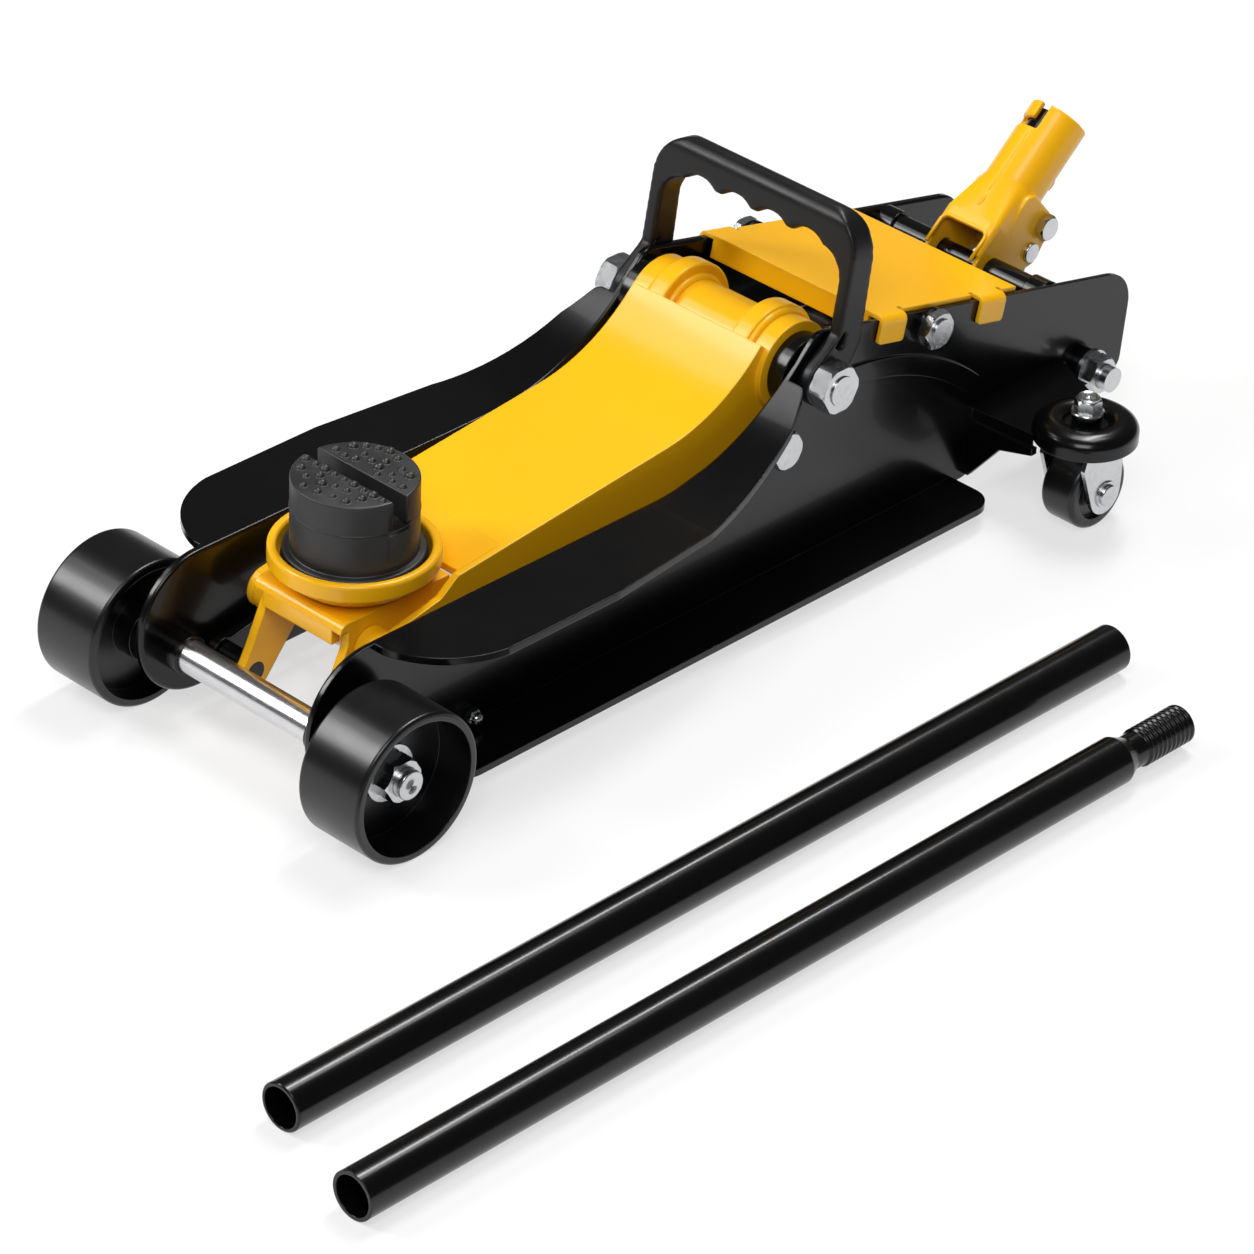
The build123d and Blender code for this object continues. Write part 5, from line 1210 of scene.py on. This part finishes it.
@dataclass
class Casters(SubAssembly):
    """Rear casters with brackets, swivel bolts, forks and wheels."""

    swivel_x: float = 0.475
    swivel_y: float = 0.122
    axle_x: float = 0.4765
    axle_z: float = 0.022
    washer_radius: float = 0.0088
    washer_hole: float = 0.0043
    washer_thick: float = 0.0012
    lip_radius: float = 0.0061
    lip_inner: float = 0.0034
    lip_height: float = 0.0012
    lip_sink: float = 0.0003
    lip_bevel: float = 0.0008
    lip_slope: float = 0.0018
    stud_radius: float = 0.0021
    stud_height: float = 0.0015
    cap_radius: float = 0.0078
    cap_bevel: float = 0.0003
    cap_hole: float = 0.0036
    cap_thick: float = 0.0011
    cap_out: float = 0.0155

    def build(self, shop: Workshop) -> None:
        """Dress both casters and add washers, the dished bolt tops and axle rings."""
        for side in Side:
            name = side.name.lower()
            shop.dress(FRAME_BLACK, f"caster_bracket_{name}")
            shop.dress(BRIGHT_ZINC, f"caster_fork_{name}", f"caster_axle_{name}")
            shop.dress(CASTER_PLASTIC, f"caster_wheel_{name}")
            self.axle_rings(shop, side)
        shop.dress(BRIGHT_ZINC, "caster_kingpins", "caster_nuts")
        self.bolt_tops(shop)

    def bolt_tops(self, shop: Workshop) -> None:
        """Add a washer under each swivel nut and a dished top on it."""
        low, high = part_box("caster_nuts")
        base, crest = low[2], high[2]
        work = bmesh.new()
        for side in Side:
            middle = (self.swivel_x, side.value * self.swivel_y, 0)
            place = Matrix.Translation(middle)
            washer = [
                (self.washer_hole, base),
                (self.washer_radius, base),
                (self.washer_radius, base + self.washer_thick * 0.6),
                (self.washer_radius - self.washer_thick * 0.4, base + self.washer_thick),
                (self.washer_hole, base + self.washer_thick),
            ]
            turned(work, washer, place, 40)
            lip = [
                (self.lip_inner, crest - self.lip_sink),
                (self.lip_radius, crest - self.lip_sink),
                (self.lip_radius, crest + self.lip_height * 0.6),
                (self.lip_radius - self.lip_bevel, crest + self.lip_height),
                (self.lip_radius - self.lip_slope, crest + self.lip_height * 0.8),
                (self.lip_inner, crest + self.lip_height * 0.1),
            ]
            turned(work, lip, place, 40)
            stud = Matrix.Translation((middle[0], middle[1], crest - SINK))
            dome(work, stud, self.stud_radius, self.stud_height)
        mesh = finished(work, "caster_bolt_tops")
        mesh.set_sharp_from_angle(angle=CREASE_ANGLE)
        shop.add("caster_bolt_tops", mesh, BRIGHT_ZINC, "frame")

    def axle_rings(self, shop: Workshop, side: Side) -> None:
        """Add the thin ring under each head of a caster axle.

        Args:
            shop: Scene and materials.
            side: Side of the caster.
        """
        name = side.name.lower()
        work = bmesh.new()
        ring: Profile = [
            (self.cap_hole, 0.0),
            (self.cap_radius, 0.0),
            (self.cap_radius - self.cap_bevel, self.cap_thick),
            (self.cap_hole, self.cap_thick),
        ]
        middle = side.value * self.swivel_y
        for face in Side:
            turn = Matrix.Rotation(-face.value * math.pi / 2, 4, "X")
            spot = Matrix.Translation((self.axle_x, middle + face.value * self.cap_out, self.axle_z))
            turned(work, ring, spot @ turn, 32)
        mesh = finished(work, f"caster_axle_rings_{name}")
        mesh.set_sharp_from_angle(angle=CREASE_ANGLE)
        shop.add(f"caster_axle_rings_{name}", mesh, BRIGHT_ZINC, f"caster_{name[0]}")


@dataclass
class HandleTubes(SubAssembly):
    """The two handle tubes on the floor."""

    def build(self, shop: Workshop) -> None:
        """Dress the tubes."""
        shop.dress(FRAME_BLACK, "handle_rod", "tip_rod")


@dataclass(frozen=True)
class Softbox:
    """One soft studio lamp."""

    name: str
    place: Point
    target: Point
    width: float
    height: float
    power: float


@dataclass
class Studio:
    """White floor, soft lamps and the camera at the photo's viewpoint."""

    azimuth: float = -46.84
    elevation: float = 31.92
    roll: float = 2.34
    target: Point = (0.17623, -0.07999, 0.04)
    distance: float = 3.0
    lens: float = 173.46
    sensor: float = 36.0
    floor_half: float = 8.0
    floor_white: float = 0.92
    floor_glow: float = 0.64
    world_light: float = 0.08
    clip_end: float = 50.0
    lamps: tuple[Softbox, ...] = (
        Softbox("key_softbox", (-1.3, -1.3, 2.4), (0.2, 0.0, 0.05), 1.4, 1.4, 40.0),
        Softbox("tread_softbox", (-1.1, 1.35, 1.5), (0.1, 0.0, 0.06), 0.6, 0.95, 24.0),
        Softbox("arm_softbox", (-0.5, 1.5, 2.1), (0.2, 0.0, 0.1), 0.6, 0.5, 4.5),
        Softbox("rod_strip", (1.34, 0.35, 2.35), (0.3, -0.2, 0.0), 0.21, 1.5, 22.0),
        Softbox("top_softbox", (1.05, 0.2, 2.6), (0.3, 0.0, 0.1), 1.2, 1.2, 27.0),
    )

    def build(self) -> None:
        """Set up floor, world, lamps, camera and view transform."""
        self.floor()
        self.world()
        for lamp in self.lamps:
            self.lamp(lamp)
        self.camera()
        bpy.context.scene.view_settings.view_transform = "Standard"

    def floor(self) -> None:
        """White floor that stays white to the camera and keeps a soft shadow."""
        half = self.floor_half
        mesh = bpy.data.meshes.new("studio_floor")
        mesh.from_pydata(
            [(-half, -half, 0), (half, -half, 0), (half, half, 0), (-half, half, 0)], [], [(0, 1, 2, 3)]
        )
        thing = bpy.data.objects.new("studio_floor", mesh)
        bpy.context.scene.collection.objects.link(thing)
        material = bpy.data.materials.new("white_floor")
        material.use_nodes = True
        tree = material.node_tree
        tree.nodes.clear()
        matt = tree.nodes.new("ShaderNodeBsdfDiffuse")
        matt.inputs["Color"].default_value = rgb(self.floor_white, self.floor_white, self.floor_white)
        glow = tree.nodes.new("ShaderNodeEmission")
        glow.inputs["Color"].default_value = rgb(1.0, 1.0, 1.0)
        mix = tree.nodes.new("ShaderNodeMixShader")
        path = tree.nodes.new("ShaderNodeLightPath")
        seen = tree.nodes.new("ShaderNodeMath")
        seen.operation = "MAXIMUM"
        tree.links.new(path.outputs["Is Camera Ray"], seen.inputs[0])
        tree.links.new(path.outputs["Is Glossy Ray"], seen.inputs[1])
        share = tree.nodes.new("ShaderNodeMath")
        share.operation = "MULTIPLY"
        share.inputs[1].default_value = self.floor_glow
        tree.links.new(seen.outputs["Value"], share.inputs[0])
        tree.links.new(share.outputs["Value"], mix.inputs["Fac"])
        tree.links.new(matt.outputs["BSDF"], mix.inputs[1])
        tree.links.new(glow.outputs["Emission"], mix.inputs[2])
        out = tree.nodes.new("ShaderNodeOutputMaterial")
        tree.links.new(mix.outputs["Shader"], out.inputs["Surface"])
        mesh.materials.append(material)

    def world(self) -> None:
        """Even pale light from all round."""
        world = bpy.data.worlds.new("studio_world")
        world.use_nodes = True
        back = world.node_tree.nodes["Background"]
        back.inputs["Color"].default_value = rgb(1.0, 1.0, 1.0)
        back.inputs["Strength"].default_value = self.world_light
        bpy.context.scene.world = world

    def lamp(self, lamp: Softbox) -> None:
        """Hang one soft lamp.

        Args:
            lamp: Its sizes, place and power.
        """
        light = bpy.data.lights.new(lamp.name, "AREA")
        light.shape = "RECTANGLE"
        light.size = lamp.width
        light.size_y = lamp.height
        light.energy = lamp.power
        thing = bpy.data.objects.new(lamp.name, light)
        bpy.context.scene.collection.objects.link(thing)
        aim = Vector(lamp.target) - Vector(lamp.place)
        thing.rotation_euler = aim.to_track_quat("-Z", "Y").to_euler()
        thing.location = lamp.place

    def camera(self) -> None:
        """Camera at the photo's viewpoint, with the photo's slight roll."""
        azimuth = math.radians(self.azimuth)
        elevation = math.radians(self.elevation)
        roll = math.radians(self.roll)
        back = Vector(
            (
                math.sin(azimuth) * math.cos(elevation),
                -math.cos(azimuth) * math.cos(elevation),
                math.sin(elevation),
            )
        )
        right = Vector((math.cos(azimuth), math.sin(azimuth), 0.0))
        up = back.cross(right)
        across = right * math.cos(roll) + up * math.sin(roll)
        upward = up * math.cos(roll) - right * math.sin(roll)
        place = Vector(self.target) + back * self.distance
        data = bpy.data.cameras.new("photo_camera")
        data.lens = self.lens
        data.sensor_width = self.sensor
        data.clip_end = self.clip_end
        thing = bpy.data.objects.new("photo_camera", data)
        bpy.context.scene.collection.objects.link(thing)
        turn = Matrix((across, upward, back)).transposed()
        thing.matrix_world = Matrix.Translation(place) @ turn.to_4x4()
        bpy.context.scene.camera = thing


def main() -> None:
    """Load the frame, set up the studio and build every sub-assembly."""
    logging.basicConfig(level=logging.INFO, format="%(name)s: %(message)s")
    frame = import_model()
    Studio().build()
    shop = Workshop(frame)
    for part in (
        SidePlates(),
        FrontAxle(),
        LiftArm(),
        Saddle(),
        Hydraulics(),
        HandleSocket(),
        CoverAndGrip(),
        Casters(),
        HandleTubes(),
    ):
        part.build(shop)


if __name__ == "__main__":
    main()
